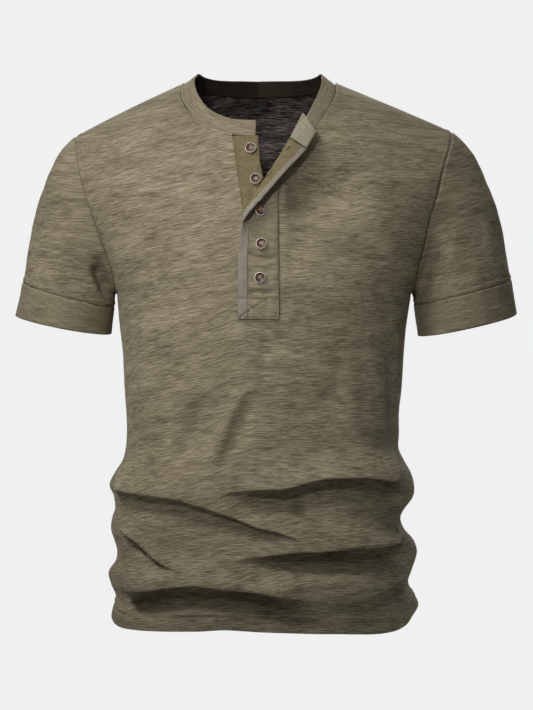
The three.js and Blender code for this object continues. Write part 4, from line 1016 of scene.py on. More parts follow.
def placket():
    rows, steps = 190, 36
    u = np.linspace(0, 1, rows + 1)
    R = overlap_path(u)
    P = overlap_rows(R, steps)
    N = grid_normals(P)
    if N[2, 2, 1] > 0:
        N = -N
    flat = 1 - smooth(R["lift"] / 3)[:, None]
    X, Z = P[..., 0], P[..., 2]
    across = np.concatenate([np.zeros((rows + 1, 1)), np.cumsum(np.linalg.norm(np.diff(P, axis=1), axis=2), 1)], 1)
    from_edge = across[:, -1:] - across
    along = np.concatenate([[0], np.cumsum(np.linalg.norm(np.diff(P[:, 0], axis=0), axis=1))])
    E = drag_shape("placket", X, Z, CREASES) * smooth((Z + 244.5) / 3) * smooth(across / 3) * (0.25 + 0.75 * flat)
    E += lump_small(X * 1.6, Z * 1.4) * 0.32 * smooth(across / 4) * smooth((Z + 246) / 6)
    # pulled up round the buttons
    for _, bx, bz, on in BUTTONS:
        if on == "overlap":
            d = np.hypot(X - bx, Z - bz)
            E += 0.75 * np.exp(-(d / 7.0) ** 2) * smooth((Z + 245) / 5)
            E += -0.35 * np.exp(-((d - 10.5) / 2.2) ** 2) * smooth((Z + 243) / 5)
    # the pressed, stitched box at the foot
    box = smooth((-246.5 - Z) / 1.2)
    for (ax, az), (bx, bz) in BOX_LINES:
        L = math.hypot(bx - ax, bz - az)
        t = np.clip(((X - ax) * (bx - ax) + (Z - az) * (bz - az)) / L ** 2, 0, 1)
        d = np.hypot(X - ax - t * (bx - ax), Z - az - t * (bz - az))
        E += -1.2 * np.exp(-(d / 0.95) ** 2)
    E += 0.45 * box * np.abs(lump_small(X * 2.2, Z * 2.0))
    # seam edge: a groove between two rounded edges, 1.6 mm in
    E += (-0.5 * np.exp(-((across - 2.2) / 0.7) ** 2) + 0.15 * np.exp(-((across - 4) / 1.1) ** 2)) * smooth((Z + 268) / 2)
    P = P + N * E[..., None]
    Q = grid_quads(rows + 1, steps + 1)
    uv = np.stack([across, along[:, None] + 0 * across], -1).reshape(-1, 2)
    probe = vertex_normals(P.reshape(-1, 3), Q).reshape(P.shape)
    flip = probe[2, 2, 1] > 0
    ob = shell("placket_overlap", P.reshape(-1, 3), Q, uv, PLACKET_WALL, [jersey_placket, tan_twill], flip)
    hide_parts("placket_upper")
    N = grid_normals(P)
    if N[2, 2, 1] > 0:
        N = -N

    def at_run(j, s, d):
        """Points on row j, s back from the free edge and d out."""
        run = from_edge[j]
        out = []
        for ss, dd in zip(s, d):
            c = np.array([np.interp(ss, run[::-1], P[j, ::-1, k]) for k in range(3)])
            nn = unit(np.array([np.interp(ss, run[::-1], N[j, ::-1, k]) for k in range(3)]))
            if ss < 0:
                tan = unit(P[j, -1] - P[j, -3])
                c = P[j, -1] + tan * -ss
                nn = N[j, -1]
            out.append(c + nn * dd)
        return np.array(out), run

    # binding: round the free edge, from just above the box to under the neckband
    first = int(np.argmin(np.abs(R["edgeZ"] + 269.5)))
    rowsB = range(first, rows + 1)
    grid, lines = [], []
    for j in rowsB:
        lift = float(R["lift"][j])
        do = 0.62
        di = lerp(-(PLACKET_WALL + 0.38), -(PLACKET_WALL + 1.05), smooth(lift / 5.0))
        mid, rad = (do + di) / 2, (do - di) / 2
        ph = np.linspace(90, -90, 9)[1:-1] * math.pi / 180
        s = np.concatenate([np.linspace(BINDING_WIDTH, 0.5, 11), 0.5 - rad * 0.75 * np.cos(ph), np.linspace(0.5, BINDING_RETURN, 6)])
        d = np.concatenate([np.full(11, do), mid + rad * np.sin(ph), np.full(6, di)])
        grid.append(at_run(j, s, d)[0])
    B = np.array(grid)
    rb, cb = B.shape[:2]
    prof = np.concatenate([[0], np.cumsum(np.linalg.norm(np.diff(B[rb // 3], axis=0), axis=1))])
    along_b = along[first:]
    Qb = grid_quads(rb, cb)
    uvb = np.stack([prof[None, :] + 0 * along_b[:, None], along_b[:, None] + 0 * prof[None, :]], -1).reshape(-1, 2)
    probe = vertex_normals(B.reshape(-1, 3), Qb).reshape(B.shape)
    flip = probe[3, 3] @ N[first + 3, -3] < 0
    binding = shell("placket_edge_binding", B.reshape(-1, 3), Qb, uvb, 0.45, [pale_tape], flip)
    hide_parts("placket_binding")

    # facing: on the inner face where it shows, from behind the roll to the binding
    start_row = int(np.argmin(np.abs(u - 0.44)))
    grid = []
    uvs = []
    for j in range(start_row, rows + 1):
        half = steps // 2
        width = from_edge[j, half - 5]
        s = np.linspace(width, 1.2, 16)
        grid.append(at_run(j, s, np.full(16, -(PLACKET_WALL + 0.72)))[0])
        uvs.append(np.stack([s, np.full(16, along[j])], 1))
    F = np.array(grid)
    rf, cf = F.shape[:2]
    Qf = grid_quads(rf, cf)
    probe = vertex_normals(F.reshape(-1, 3), Qf).reshape(F.shape)
    flip = probe[rf // 2, cf // 2] @ N[(start_row + rows) // 2, -8] > 0
    facing = shell("placket_inner_facing", F.reshape(-1, 3), Qf, np.array(uvs).reshape(-1, 2), 0.5, [tan_twill], flip)
    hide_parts("placket_facing")
    return dict(ob=ob, P=P, N=N, binding=binding, facing=facing, B=B, F=F, across=across, R=R, along=along)


BOX_LINES = [
    ((-23.2, -247.8), (18.6, -247.8)), ((-23.2, -269.0), (18.6, -269.0)), ((18.0, -247.8), (18.0, -269.0)),
    ((6.6, -247.8), (6.6, -269.0)), ((-22.4, -248.4), (6.6, -268.4)), ((-22.4, -268.4), (6.6, -248.4)),
]
overlap = placket()


def stand():
    rows, cols = 130, 20
    z = np.linspace(SLIT_FOOT_Z + 1.5, -63.7, rows + 1)
    X = stand_edge(z)[:, None] + 0.6 + STAND_WIDTH * np.linspace(0, 1, cols + 1)[None, :]
    Z = z[:, None] + 0 * X
    P, N = on_front(X, Z, -0.5)
    wrinkle = drag_shape("stand", X, Z, [dict(zip(DRAG_KEYS, ("stand",) + r)) for r in [
        (-26, -92, -14, -94, 0, -90, -0.7, 1.6, 2.4, 0.4), (-24, -101, -12, -97, 2, -99, 0.6, 2.0, 2.0, 0.4),
        (-22, -124, -10, -121, 4, -126, -0.8, 1.8, 2.6, 0.4), (-20, -137, -8, -140, 6, -136, -0.6, 1.8, 2.2, 0.4),
        (-25, -82, -18, -86, -12, -92, 0.5, 1.6, 1.6, 0.4), (-22, -131, -12, -130, 0, -133, 0.6, 2.2, 2.0, 0.4),
    ]])
    E = wrinkle + 0.2 * lump_small(X * 1.7, Z * 1.5 + 90)
    E += -0.35 * np.exp(-((X - X[:, -1:] + 1.8) / 0.6) ** 2) - 0.3 * np.exp(-((X - X[:, :1] - 2.6) / 0.6) ** 2)
    E += -0.3 * np.exp(-((Z + 67.6) / 0.6) ** 2)
    E = np.minimum(E, 0.35)
    P = P + N * E[..., None]
    Q = grid_quads(rows + 1, cols + 1)
    probe = vertex_normals(P.reshape(-1, 3), Q).reshape(P.shape)
    flip = probe[5, 5, 1] > 0
    uv = np.stack([X, Z], -1).reshape(-1, 2)
    ob = shell("placket_stand", P.reshape(-1, 3), Q, uv, 1.1, [tan_twill], flip)
    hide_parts("placket_under")
    return dict(ob=ob, P=P)


under = stand()


# ------------------------------------------------------------------ neckband
def neckband():
    def base(face, side, u0, u1, count):
        p = neck[side](np.linspace(u0, u1, count))
        x, z = p["x"], p["z"]
        q = body(face, x, z)
        inward = np.stack([-q[:, 0], -12 - q[:, 1], 0 * q[:, 0]], 1)
        inward = unit(inward)
        inset = lerp(0.35, 0.8, smooth((np.abs(x) - 72) / 12))
        q = q + inward * inset[:, None]
        q[:, 2] += np.where(face == "back", -0.1, lerp(-0.4, 0.2, smooth((np.abs(x) - 70) / 14)))
        lean = np.radians(24 + 27 * inward[:, 0] ** 2)
        upward = inward * np.sin(lean)[:, None] + np.array([0, 0, 1.0]) * np.cos(lean)[:, None]
        return q, upward
    parts = [base("front", "right", 0.985, 0.02, 72), base("back", "back", 0.03, 0.97, 84), base("front", "left", 0.03, 0.93, 56)]
    bottom = np.concatenate([p[0] for p in parts])
    rise = np.concatenate([p[1] for p in parts])
    for _ in range(5):      # ease the joins at the shoulders
        for a in (bottom, rise):
            mid = (a[:-2] + 2 * a[1:-1] + a[2:]) / 4
            for j in (72, 72 + 84):
                a[j - 5:j + 5] = mid[j - 6:j + 4]
    rise = unit(rise)
    steps = 34

    def columns(height):
        """The outer face at one height above the seam, all along the band."""
        line = bottom + rise * height
        k = height / BAND_HEIGHT
        r = {key: np.array([lerp(BAND_END[0][key], BAND_END[1][key], k)]) for key in BAND_END[0]}
        turned = overlap_rows(r, steps, line[-1:])[0, 1:]
        return np.concatenate([line, turned])
    heights = np.linspace(0, BAND_HEIGHT, 13)
    G = np.stack([columns(h) for h in heights], 0)      # [height][along]
    NG = grid_normals(G)
    if NG[4, 10, 1] > 0:
        NG = -NG
    n = G.shape[1]
    r = BAND_WALL / 2
    theta = np.linspace(0, math.pi, 9)[1:-1]
    S = np.concatenate([np.linspace(0, BAND_HEIGHT - r, 15), BAND_HEIGHT - r + r * np.sin(theta), np.linspace(BAND_HEIGHT - r, 0, 15)])
    D = np.concatenate([np.zeros(15), r - r * np.cos(theta), np.full(15, BAND_WALL)])
    along = np.concatenate([[0], np.cumsum(np.linalg.norm(np.diff(G[6], axis=0), axis=1))])
    P = np.empty((n, len(S), 3))
    for k, (s, d) in enumerate(zip(S, D)):
        c = columns(s)
        i = s / BAND_HEIGHT * 12
        i0 = min(11, int(i))
        nn = unit(lerp(NG[i0], NG[i0 + 1], i - i0))
        e = 0.22 * lump_small(along * 1.3, np.full(n, s * 2.0)) + 0.5 * lump_big(along, np.full(n, s)) * math.sin(math.pi * s / BAND_HEIGHT)
        if k < 15:
            # fine grooves of the twin stitching beside the seam, and a soft roll
            e = e - 0.3 * math.exp(-((s - 2.0) / 0.8) ** 2) + 0.35 * math.exp(-((s - 5.5) / 3) ** 2)
        P[:, k] = c + nn * (e[:, None] * 0.7 - d)
    m = len(S)
    i, k = np.meshgrid(np.arange(n - 1), np.arange(m), indexing="ij")
    k2 = (k + 1) % m
    F = np.stack([i * m + k, (i + 1) * m + k, (i + 1) * m + k2, i * m + k2], -1).reshape(-1, 4)
    caps = []
    half = (m - 1) // 2
    for a, turn in ((0, False), (n - 1, True)):
        for k in range(half):
            q = [a * m + k, a * m + k + 1, a * m + m - 2 - k, a * m + m - 1 - k]
            if q[1] == q[2]:
                q = [q[0], q[1], q[3]]
            caps.append(q[::-1] if turn else q)
    V = P.reshape(-1, 3)
    # outward
    test = V[F]
    vol = np.einsum("ij,ij->i", test[:, 0], np.cross(test[:, 1], test[:, 2])).sum() + np.einsum("ij,ij->i", test[:, 0], np.cross(test[:, 2], test[:, 3])).sum()
    faces = [list(q) for q in F]
    if vol < 0:
        faces = [q[::-1] for q in faces]
        caps = [c[::-1] for c in caps]
    i_of = np.repeat(np.arange(n - 1), m)
    inner = (np.tile(np.arange(m), n - 1) > half)
    # the turned end shows its pale inner face; round the neck the same face is painted dark, as painted shade
    turned_from = len(bottom) - 6
    index = np.where(inner, np.where(i_of > turned_from, 1, 2), 0)
    index = np.concatenate([index, np.zeros(len(caps), int)])
    vert_run = np.concatenate([np.linspace(0, BAND_HEIGHT - r, 15), BAND_HEIGHT - r + r * theta, BAND_HEIGHT + 2 + np.linspace(0, BAND_HEIGHT - r, 15)])
    uv = np.stack([np.repeat(along, m), np.tile(vert_run, n)], 1)
    ob = make_object("neckband_cloth", V, faces + caps, uv, index, [jersey_trim, jersey_band_inside, jersey_neck_painted_shade_inside])
    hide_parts("neckband")
    outer = np.array([[a * m + k, (a + 1) * m + k, (a + 1) * m + k + 1, a * m + k + 1] for a in range(n - 1) for k in range(14)])
    trees["neckband_cloth"] = BVHTree.FromPolygons([tuple(p) for p in V.tolist()], [tuple(f) for f in outer.tolist()])
    g = P[:, :15]
    area["neckband_cloth"] = float(np.linalg.norm(np.cross(g[1:, :-1] - g[:-1, :-1], g[:-1, 1:] - g[:-1, :-1]), axis=2).sum()) * 1e-6
    return dict(ob=ob, P=P, bottom=bottom, n_round=len(bottom), m=m)


band = neckband()


# ------------------------------------------------------------------ buttons
def button(name, x, z, on):
    tree = trees["placket_overlap"] if on == "overlap" else trees["placket_stand"]
    gap = 0.5 if on == "stand" else OUT + 1.9
    q, n = on_front(np.array(float(x)), np.array(float(z)), gap)
    n = unit(n)
    # its underside lies just off the cloth, wherever the cloth is highest under it
    side = unit(np.cross([0, 0, 1.0], n))
    upv = np.cross(n, side)
    lift = []
    for a in np.linspace(0, 2 * math.pi, 12, endpoint=False):
        for rr in (0, 3.0, 5.6):
            p = q + (side * math.cos(a) + upv * math.sin(a)) * rr
            hit, _, _, _ = tree.ray_cast(Vector(p + n * 12), Vector(-n), 30)
            if hit is not None:
                lift.append(float((np.array(hit) - q) @ n))
    base = np.clip(max(lift) + 0.45, -1.4, 0.8)
    R, T = BUTTON_D / 2, 2.6
    profile = [(0.0, 0.0), (R * 0.5, 0.0), (R * 0.72, 0.08), (R * 0.88, 0.35), (R * 0.97, 0.85), (R, 1.35), (R * 0.985, 1.85),
               (R * 0.95, 2.3), (R * 0.90, 2.52), (R * 0.855, 2.55), (R * 0.81, 2.42), (R * 0.77, 2.05), (R * 0.71, 1.78),
               (R * 0.6, 1.66), (R * 0.3, 1.56), (0.0, 1.54)]
    seg = 64
    bm_v, bm_f, mat = [], [], []
    for r, h in profile:
        if r == 0:
            bm_v.append([(0, 0, h)])
        else:
            bm_v.append([(r * math.cos(2 * math.pi * k / seg), r * math.sin(2 * math.pi * k / seg), h) for k in range(seg)])
    flat = [p for ringv in bm_v for p in ringv]
    start = np.cumsum([0] + [len(v) for v in bm_v])
    for i in range(len(profile) - 1):
        for k in range(seg):
            k2 = (k + 1) % seg
            a, b = start[i], start[i + 1]
            rim, ring = 3 <= i <= 8, 9 <= i <= 12
            if len(bm_v[i]) == 1:
                f = [a, b + k2, b + k]
            elif len(bm_v[i + 1]) == 1:
                f = [a + k, a + k2, b]
            else:
                f = [a + k, a + k2, b + k2, b + k]
            bm_f.append(f)
            mat.append(1 if rim else 3 if ring else 0)
    mesh = bpy.data.meshes.new(name)
    mesh.from_pydata([tuple(c * MM for c in p) for p in flat], [], bm_f)
    for m_ in (button_brown, button_rim, thread_pale, button_ring):
        mesh.materials.append(m_)
    mesh.polygons.foreach_set("material_index", mat)
    mesh.polygons.foreach_set("use_smooth", [True] * len(bm_f))
    mesh.update()
    ob = bpy.data.objects.new(f"{name}_horn", mesh)
    bpy.context.scene.collection.objects.link(ob)
    # four holes
    cut_v, cut_f = [], []
    for dx, dy in ((1, 1), (1, -1), (-1, -1), (-1, 1)):
        s0, ns = len(cut_v), 20
        for h in (-1.0, 4.0):
            cut_v += [((dx * 1.32 + 0.74 * math.cos(2 * math.pi * k / ns)) * MM, (dy * 1.32 + 0.74 * math.sin(2 * math.pi * k / ns)) * MM, h * MM) for k in range(ns)]
        cut_f.append([s0 + k for k in range(ns)][::-1])
        cut_f.append([s0 + ns + k for k in range(ns)])
        for k in range(ns):
            k2 = (k + 1) % ns
            cut_f.append([s0 + k, s0 + k2, s0 + ns + k2, s0 + ns + k])
    cutter_mesh = bpy.data.meshes.new("holes")
    cutter_mesh.from_pydata(cut_v, [], cut_f)
    cutter = bpy.data.objects.new("holes", cutter_mesh)
    bpy.context.scene.collection.objects.link(cutter)
    mod = ob.modifiers.new("holes", "BOOLEAN")
    mod.object, mod.operation, mod.solver = cutter, "DIFFERENCE", "EXACT"
    dg = bpy.context.evaluated_depsgraph_get()
    made = bpy.data.meshes.new_from_object(ob.evaluated_get(dg), depsgraph=dg)
    ob.modifiers.clear()
    ob.data = made
    bpy.data.objects.remove(cutter)
    bpy.data.meshes.remove(mesh)
    verts = np.empty(len(made.vertices) * 3)
    made.vertices.foreach_get("co", verts)
    verts = verts.reshape(-1, 3) / MM
    polys = [list(p.vertices) for p in made.polygons]
    mats = [p.material_index for p in made.polygons]
    smooth_flags = [True] * len(polys)
    # thread: two crossed loops through the holes and a short shank beneath
    tv, tf = [], []

    def tube(points, r, ns=7):
        pts = np.array(points, float)
        s0 = len(tv)
        tan = unit(np.gradient(pts, axis=0))
        for c, tn in zip(pts, tan):
            ref = np.array([0, 0, 1.0]) if abs(tn[2]) < 0.8 else np.array([1.0, 0, 0])
            a = unit(np.cross(tn, ref))
            b = np.cross(tn, a)
            for k in range(ns):
                an = 2 * math.pi * k / ns
                tv.append(c + (a * math.cos(an) + b * math.sin(an)) * r)
        for i in range(len(pts) - 1):
            for k in range(ns):
                k2 = (k + 1) % ns
                tf.append([s0 + i * ns + k, s0 + i * ns + k2, s0 + (i + 1) * ns + k2, s0 + (i + 1) * ns + k][::-1])
        tf.append([s0 + k for k in range(ns)])
        tf.append([s0 + (len(pts) - 1) * ns + k for k in range(ns)][::-1])
    for d, off in (((1, 1), 0.0), ((1, -1), 0.18)):
        for e in (-0.2, 0.2):
            dx, dy = d
            px, py = -dy * e, dx * e
            line = [(dx * 1.4 + px, dy * 1.4 + py, -0.35), (dx * 1.36 + px, dy * 1.36 + py, 0.8), (dx * 1.22 + px, dy * 1.22 + py, 1.6 + off),
                    (dx * 0.8 + px, dy * 0.8 + py, 1.92 + off), (px, py, 2.0 + off), (-dx * 0.8 + px, -dy * 0.8 + py, 1.92 + off),
                    (-dx * 1.22 + px, -dy * 1.22 + py, 1.6 + off), (-dx * 1.36 + px, -dy * 1.36 + py, 0.8), (-dx * 1.4 + px, -dy * 1.4 + py, -0.35)]
            tube(line, 0.24)
    tube([(0, 0, -0.9), (0, 0, -0.5), (0, 0, 0.25)], 0.95, 12)
    k0 = len(verts)
    verts = np.concatenate([verts, np.array(tv)])
    polys += [[v + k0 for v in f] for f in tf]
    mats += [2] * len(tf)
    angle = {"button_1": 0.3, "button_2": 0.5, "button_3": 0.15, "button_4": 0.65, "button_5": 0.75}[name]
    tilt = {"button_1": (0.02, -0.03), "button_2": (-0.03, 0.02), "button_3": (0.0, 0.03), "button_4": (0.02, 0.02), "button_5": (-0.02, -0.02)}[name]
    ca, sa = math.cos(angle), math.sin(angle)
    A, B = side * ca + upv * sa, -side * sa + upv * ca
    C = unit(n + side * tilt[0] + upv * tilt[1])
    world = q + n * base + verts[:, :1] * A + verts[:, 1:2] * B + verts[:, 2:] * C
    final = bpy.data.meshes.new(f"{name}_horn")
    # A, B, C: make sure the turn isn't a mirror
    if np.cross(A, B) @ C < 0:
        polys = [f[::-1] for f in polys]
    final.from_pydata((world * MM).tolist(), [], polys)
    for m_ in (button_brown, button_rim, thread_pale, button_ring):
        final.materials.append(m_)
    final.polygons.foreach_set("material_index", mats)
    final.polygons.foreach_set("use_smooth", [True] * len(polys))
    final.update()
    final.set_sharp_from_angle(angle=math.radians(38))
    ob.data = final
    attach(ob, "root")
    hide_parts(name)
    return ob


for spec in BUTTONS:
    button(*spec)


# ------------------------------------------------------------------ label
def label():
    rows, cols = 16, 12
    y0 = float(body("back", np.array(LABEL["x"]), np.array(-12.0))[1]) - 2.0 - 2.2
    a, b = np.meshgrid(np.linspace(0, 1, rows + 1), np.linspace(-0.5, 0.5, cols + 1), indexing="ij")
    X = LABEL["x"] + b * LABEL["width"] + 0.15 * np.sin(a * 3)
    Z = LABEL["top"] - a * LABEL["length"] + 0.2 * b
    Y = y0 - 1.0 - 0.9 * a ** 2 + 0.7 * (b * 2) ** 2 * a
    P = np.stack([X, Y, Z], -1)
    Q = grid_quads(rows + 1, cols + 1)
    probe = vertex_normals(P.reshape(-1, 3), Q).reshape(P.shape)
    uv = np.stack([X, Z], -1).reshape(-1, 2)
    ob = shell("size_label_tape", P.reshape(-1, 3), Q, uv, 0.5, [black_tape], probe[5, 5, 1] > 0)
    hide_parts("size_label")
    return ob


label_ob = label()


# ------------------------------------------------------------------ stitching
def resample(points, pitch):
    points = np.asarray(points, float)
    run = np.concatenate([[0], np.cumsum(np.linalg.norm(np.diff(points, axis=0), axis=1))])
    at = np.arange(pitch / 2, run[-1], pitch)
    return np.stack([np.interp(at, run, points[:, k]) for k in range(3)], 1)


def stitches(name, lines, material, radius=0.28, length=2.1, pitch=2.9):
    """Each line is (guide points, the name of the cloth that it is sewn to). The
    thread follows the finished surface and dips into it at both ends."""
    V, F = [], []
    ns = 6
    for guide, cloth in lines:
        tree = trees[cloth]
        pts = resample(guide, pitch)
        hits = [tree.find_nearest(Vector(p)) for p in pts]
        ok = [h[0] is not None and h[3] < 9 for h in hits]
        C = np.array([h[0] if o else p for h, o, p in zip(hits, ok, pts)])
        N = np.array([h[1] if o else (0, -1, 0) for h, o in zip(hits, ok)])
        T = unit(np.gradient(C, axis=0))
        for c, nn, t, o in zip(C, N, T, ok):
            if not o:
                continue
            nn = unit(nn - t * (nn @ t))
            b = np.cross(t, nn)
            k0 = len(V)
            for frac, rad, lift in ((-0.5, 0.0, -0.35), (-0.36, 0.85, -0.05), (0.0, 1.0, 0.12), (0.36, 0.85, -0.05), (0.5, 0.0, -0.35)):
                centre = c + t * frac * length + nn * (lift * 1.0)
                if rad == 0:
                    V.append(centre)
                else:
                    for k in range(ns):
                        a = 2 * math.pi * k / ns
                        V.append(centre + (b * math.cos(a) + nn * math.sin(a)) * radius * rad)
            r = [k0 + 1 + ns * i for i in range(3)]
            for k in range(ns):
                k2 = (k + 1) % ns
                F.append([k0, r[0] + k2, r[0] + k])
                F.append([r[0] + k, r[0] + k2, r[1] + k2, r[1] + k])
                F.append([r[1] + k, r[1] + k2, r[2] + k2, r[2] + k])
                F.append([r[2] + k, r[2] + k2, k0 + 1 + 3 * ns])
    V = np.array(V)
    mesh = bpy.data.meshes.new(name)
    mesh.from_pydata((V * MM).tolist(), [], F)
    mesh.materials.append(material)
    mesh.polygons.foreach_set("use_smooth", [True] * len(F))
    mesh.update()
    ob = bpy.data.objects.new(name, mesh)
    bpy.context.scene.collection.objects.link(ob)
    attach(ob, "root")
    return ob


def hem_line(face, up):
    s = np.linspace(-0.985, 0.985, 400)
    z = HEM_AT[face](s) + up
    sign = np.where(s < 0, -1.0, 1.0)
    k = across_at(z)
    return body(face, sign * edge_at(sign, z) * np.sin(np.abs(s) * k) / np.sin(k), z)


def arm_line(face, sign, back_off):
    """Along the armhole on the body, a distance in from the seam."""
    grid = front if face == "front" else back
    P, cols = grid["P"], grid["cols"]
    line = []
    for j in range(grid["low"] + 2, grid["rows"]):
        row = P[j] if sign < 0 else P[j][::-1]
        run = np.concatenate([[0], np.cumsum(np.linalg.norm(np.diff(row, axis=0), axis=1))])
        line.append([np.interp(back_off, run, row[:, k]) for k in range(3)])
    return np.array(line)


def neck_offset(side, face, off):
    p = neck[side](np.linspace(0.02, 0.98 if side != "right" else 0.86, 120))
    x, z = p["x"], p["z"]
    tx, tz = np.gradient(x), np.gradient(z)
    L = np.hypot(tx, tz)
    nx, nz = -tz / L, tx / L
    if face == "front":
        cx = np.sign(x)
        out_x = nx * np.sign(nx * cx)
        out_z = nz * np.sign(nx * cx)
    else:
        out_x, out_z = nx * -np.sign(nz), nz * -np.sign(nz)
    return body(face, x + out_x * off, np.minimum(z + out_z * off, shoulder_z(x + out_x * off) - 0.5))


hem_lines = [(hem_line("front", 18.6), "front_panel"), (hem_line("front", 15.4), "front_panel"),
             (hem_line("back", 18.6), "back_panel"), (hem_line("back", 15.4), "back_panel")]
stitches("stitches_hem", hem_lines, thread_hem, radius=0.42, length=2.7, pitch=3.0)
body_lines = []
for sg in (-1, 1):
    for face in ("front", "back"):
        for off in (1.9, 6.6):
            body_lines.append((arm_line(face, sg, off), f"{face}_panel"))
for off in (2.6, 5.2):
    body_lines += [(neck_offset("right", "front", off), "front_panel"), (neck_offset("left", "front", off), "front_panel"),
                   (neck_offset("back", "back", off), "back_panel")]
stitches("stitches_body", body_lines, thread_olive)

for k, s in sleeves.items():
    P, C = s["P"], s["C"]
    close = lambda a: np.concatenate([a, a[:1]])
    run = np.linalg.norm(np.diff(P, axis=0), axis=2)
    back_run = np.cumsum(run[::-1], 0)[::-1].mean(1)
    lines = []
    for off in (2.0, 6.8):
        j = int(np.argmin(np.abs(back_run - off)))
        lines.append((close(P[j]), f"sleeve_{k}_cloth"))
    stitches(f"stitches_sleeve_{k}", lines, thread_olive)

pl = overlap["P"]


def placket_line(off, z_low=-269, z_high=-70):
    """Along the overlap's seam, a distance in from it."""
    out = []
    for j in range(pl.shape[0]):
        z = pl[j, 0, 2]
        if z_low <= z <= z_high:
            out.append([np.interp(off, overlap["across"][j], pl[j, :, k]) for k in range(3)])
    return np.array(out)


placket_lines = [(placket_line(1.2), "placket_overlap"), (placket_line(3.6), "placket_overlap")]
for (ax, az), (bx, bz) in BOX_LINES:
    a, b = on_front(np.array([ax, bx]), np.array([az, bz]), OUT)[0]
    placket_lines.append((np.linspace(a, b, 30), "placket_overlap"))
stitches("stitches_placket", placket_lines, thread_olive, radius=0.25, length=1.8, pitch=2.3)

# binding edges, facing and stand
bind = overlap["B"]
edge_rows = slice(4, bind.shape[0] - 2)
stitches("stitches_binding", [(bind[edge_rows, 1], "placket_edge_binding"), (bind[edge_rows, -2], "placket_edge_binding")],
         thread_hem, radius=0.2, length=1.6, pitch=2.2)
st = under["P"]
stitches("stitches_stand", [(st[8:-2, -2], "placket_stand"), (st[30:-2, 2], "placket_stand"), (st[-3, 1:-1], "placket_stand")],
         thread_tan, radius=0.22, length=1.7, pitch=2.3)
nb = band["P"]
stitches("stitches_neckband", [(nb[3:, 2], "neckband_cloth")], thread_olive, radius=0.24, length=1.8, pitch=2.6)


# ------------------------------------------------------------------ buttonhole on the facing
def buttonholes():
    """Dense bars of thread round the slits: two of them, both on the turned facing."""
    lines = []
    F = overlap["F"]
    V, faces = [], []

    def bars(centre, along_v, across_v, normal, length, gap=0.75, width=1.3, count=14):
        for side_s in (-1, 1):
            for i in range(count):
                c = centre + along_v * ((i + 0.5) / count - 0.5) * length + across_v * side_s * gap
                k0 = len(V)
                for f, rad, lift in ((-0.5, 0.1, -0.1), (0, 0.32, 0.2), (0.5, 0.1, -0.1)):
                    cc = c + across_v * f * width + normal * lift
                    for k in range(5):
                        a = 2 * math.pi * k / 5
                        V.append(cc + (along_v * math.cos(a) + normal * math.sin(a)) * max(rad, 0.05) * 1.0)
                for r_ in range(2):
                    for k in range(5):
                        k2 = (k + 1) % 5
                        faces.append([k0 + r_ * 5 + k, k0 + r_ * 5 + k2, k0 + (r_ + 1) * 5 + k2, k0 + (r_ + 1) * 5 + k])
                faces.append([k0 + k for k in range(5)][::-1])
                faces.append([k0 + 10 + k for k in range(5)])
    rows = F.shape[0]
    for j, c, size in ((rows - 12, 6, 7.5), (rows - 46, 6, 9.5)):
        centre = F[j, c]
        al = unit(F[j + 3, c] - F[j - 3, c])
        ac = unit(F[j, c + 1] - F[j, c - 1])
        nn = unit(np.cross(al, ac))
        hit = trees["placket_inner_facing"].find_nearest(Vector(centre))
        face_n = np.array(hit[1])
        if nn @ face_n < 0:
            nn = -nn
        bars(centre + nn * 0.05, al, ac, nn, size)
    mesh = bpy.data.meshes.new("buttonholes")
    mesh.from_pydata((np.array(V) * MM).tolist(), [], faces)
    mesh.materials.append(thread_tan)
    mesh.polygons.foreach_set("use_smooth", [True] * len(faces))
    mesh.update()
    ob = bpy.data.objects.new("buttonhole_stitches", mesh)
    bpy.context.scene.collection.objects.link(ob)
    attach(ob, "root")
    return ob


buttonholes()


# ------------------------------------------------------------------ stage, light, camera
scene = bpy.context.scene
scene.view_settings.view_transform = "Standard"
scene.view_settings.look = "None"

floor_mesh = bpy.data.meshes.new("floor")
ring_n, floor_v, floor_f = 96, [(0.0, 0.0, -0.86)], []
radii = [0.3, 0.6, 0.9, 1.2]
for r in radii:
    floor_v += [(r * math.cos(2 * math.pi * k / ring_n), r * math.sin(2 * math.pi * k / ring_n), -0.86) for k in range(ring_n)]
for k in range(ring_n):
    k2 = (k + 1) % ring_n
    floor_f.append([0, 1 + k, 1 + k2])
    for i in range(len(radii) - 1):
        floor_f.append([1 + i * ring_n + k, 1 + (i + 1) * ring_n + k, 1 + (i + 1) * ring_n + k2, 1 + i * ring_n + k2])
floor_mesh.from_pydata(floor_v, [], floor_f)
floor = bpy.data.objects.new("floor", floor_mesh)
scene.collection.objects.link(floor)
fm, ft, fp = new_material("floor_pale")
tc = ft.nodes.new("ShaderNodeTexCoord")
length_n = ft.nodes.new("ShaderNodeVectorMath")
length_n.operation = "LENGTH"
flat_n = ft.nodes.new("ShaderNodeMapping")
flat_n.inputs["Scale"].default_value = (1, 1, 0)
link(ft, tc.outputs["Object"], flat_n.inputs[0])
link(ft, flat_n.outputs[0], length_n.inputs[0])
soft = noise(ft, tc.outputs["Object"], 1.0)
link(ft, ramp(ft, soft, [(0.3, (0.74, 0.74, 0.74)), (0.7, (0.77, 0.77, 0.77))], False), fp.inputs["Base Color"])
alpha = ramp(ft, math_node(ft, "DIVIDE", length_n.outputs["Value"], 1.2), [(0.45, (1, 1, 1)), (0.98, (0, 0, 0))])
link(ft, alpha, fp.inputs["Alpha"])
fp.inputs["Roughness"].default_value = 0.8
floor_mesh.materials.append(fm)

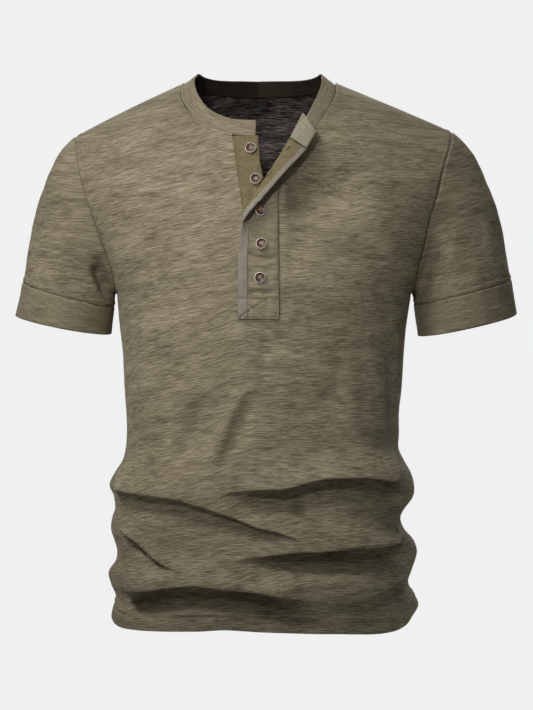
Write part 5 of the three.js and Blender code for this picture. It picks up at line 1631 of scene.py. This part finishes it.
world = bpy.data.worlds.new("studio")
scene.world = world
world.use_nodes = True
wt = world.node_tree
wt.nodes.clear()
wo = wt.nodes.new("ShaderNodeOutputWorld")
lit, seen, pick, ray = (wt.nodes.new(k) for k in ("ShaderNodeBackground", "ShaderNodeBackground", "ShaderNodeMixShader", "ShaderNodeLightPath"))
lit.inputs[0].default_value, lit.inputs[1].default_value = (0.97, 0.985, 1.0, 1), 0.14
seen.inputs[0].default_value, seen.inputs[1].default_value = (0.871, 0.871, 0.871, 1), 1.0
wt.links.new(ray.outputs["Is Camera Ray"], pick.inputs[0])
wt.links.new(lit.outputs[0], pick.inputs[1])
wt.links.new(seen.outputs[0], pick.inputs[2])
wt.links.new(pick.outputs[0], wo.inputs[0])


def area_light(name, at, aim, size, watts, colour=(1, 1, 1), spread=180):
    data = bpy.data.lights.new(name, "AREA")
    data.shape, data.size, data.size_y = "RECTANGLE", size[0], size[1]
    data.energy, data.color, data.spread = watts, colour, math.radians(spread)
    ob = bpy.data.objects.new(name, data)
    ob.location = at
    ob.rotation_euler = (Vector(aim) - Vector(at)).to_track_quat("-Z", "Y").to_euler()
    scene.collection.objects.link(ob)


area_light("key", (-1.2, -1.15, 1.6), (0.06, 0, -0.33), (0.7, 0.7), 1.9, (1.0, 0.99, 0.965), 38)
area_light("key_front", (-0.7, -2.3, 0.6), (-0.07, -0.1, -0.22), (0.25, 0.25), 0.3, (1.0, 0.99, 0.965), 17)
area_light("top", (0.0, -0.5, 2.1), (0, 0, -0.3), (1.2, 1.0), 7, (1.0, 0.99, 0.97))
area_light("back_soft", (0.7, 2.6, 1.1), (0, 0, -0.3), (1.8, 1.6), 46)

cam_data = bpy.data.cameras.new("camera")
cam_data.lens, cam_data.sensor_width, cam_data.sensor_fit = 158.7, 36.0, "AUTO"
cam_data.clip_start, cam_data.clip_end = 0.1, 50
cam = bpy.data.objects.new("camera", cam_data)
cam.location = (0.0075, -3.6, -0.3105)
cam.rotation_euler = (math.pi / 2, 0, 0)
scene.collection.objects.link(cam)
scene.camera = cam

for o in bpy.data.objects:
    if o.type == "MESH" and "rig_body" in o and not o.hide_render:
        print("piece", o.name, len(o.data.loop_triangles) or sum(len(p.vertices) - 2 for p in o.data.polygons))
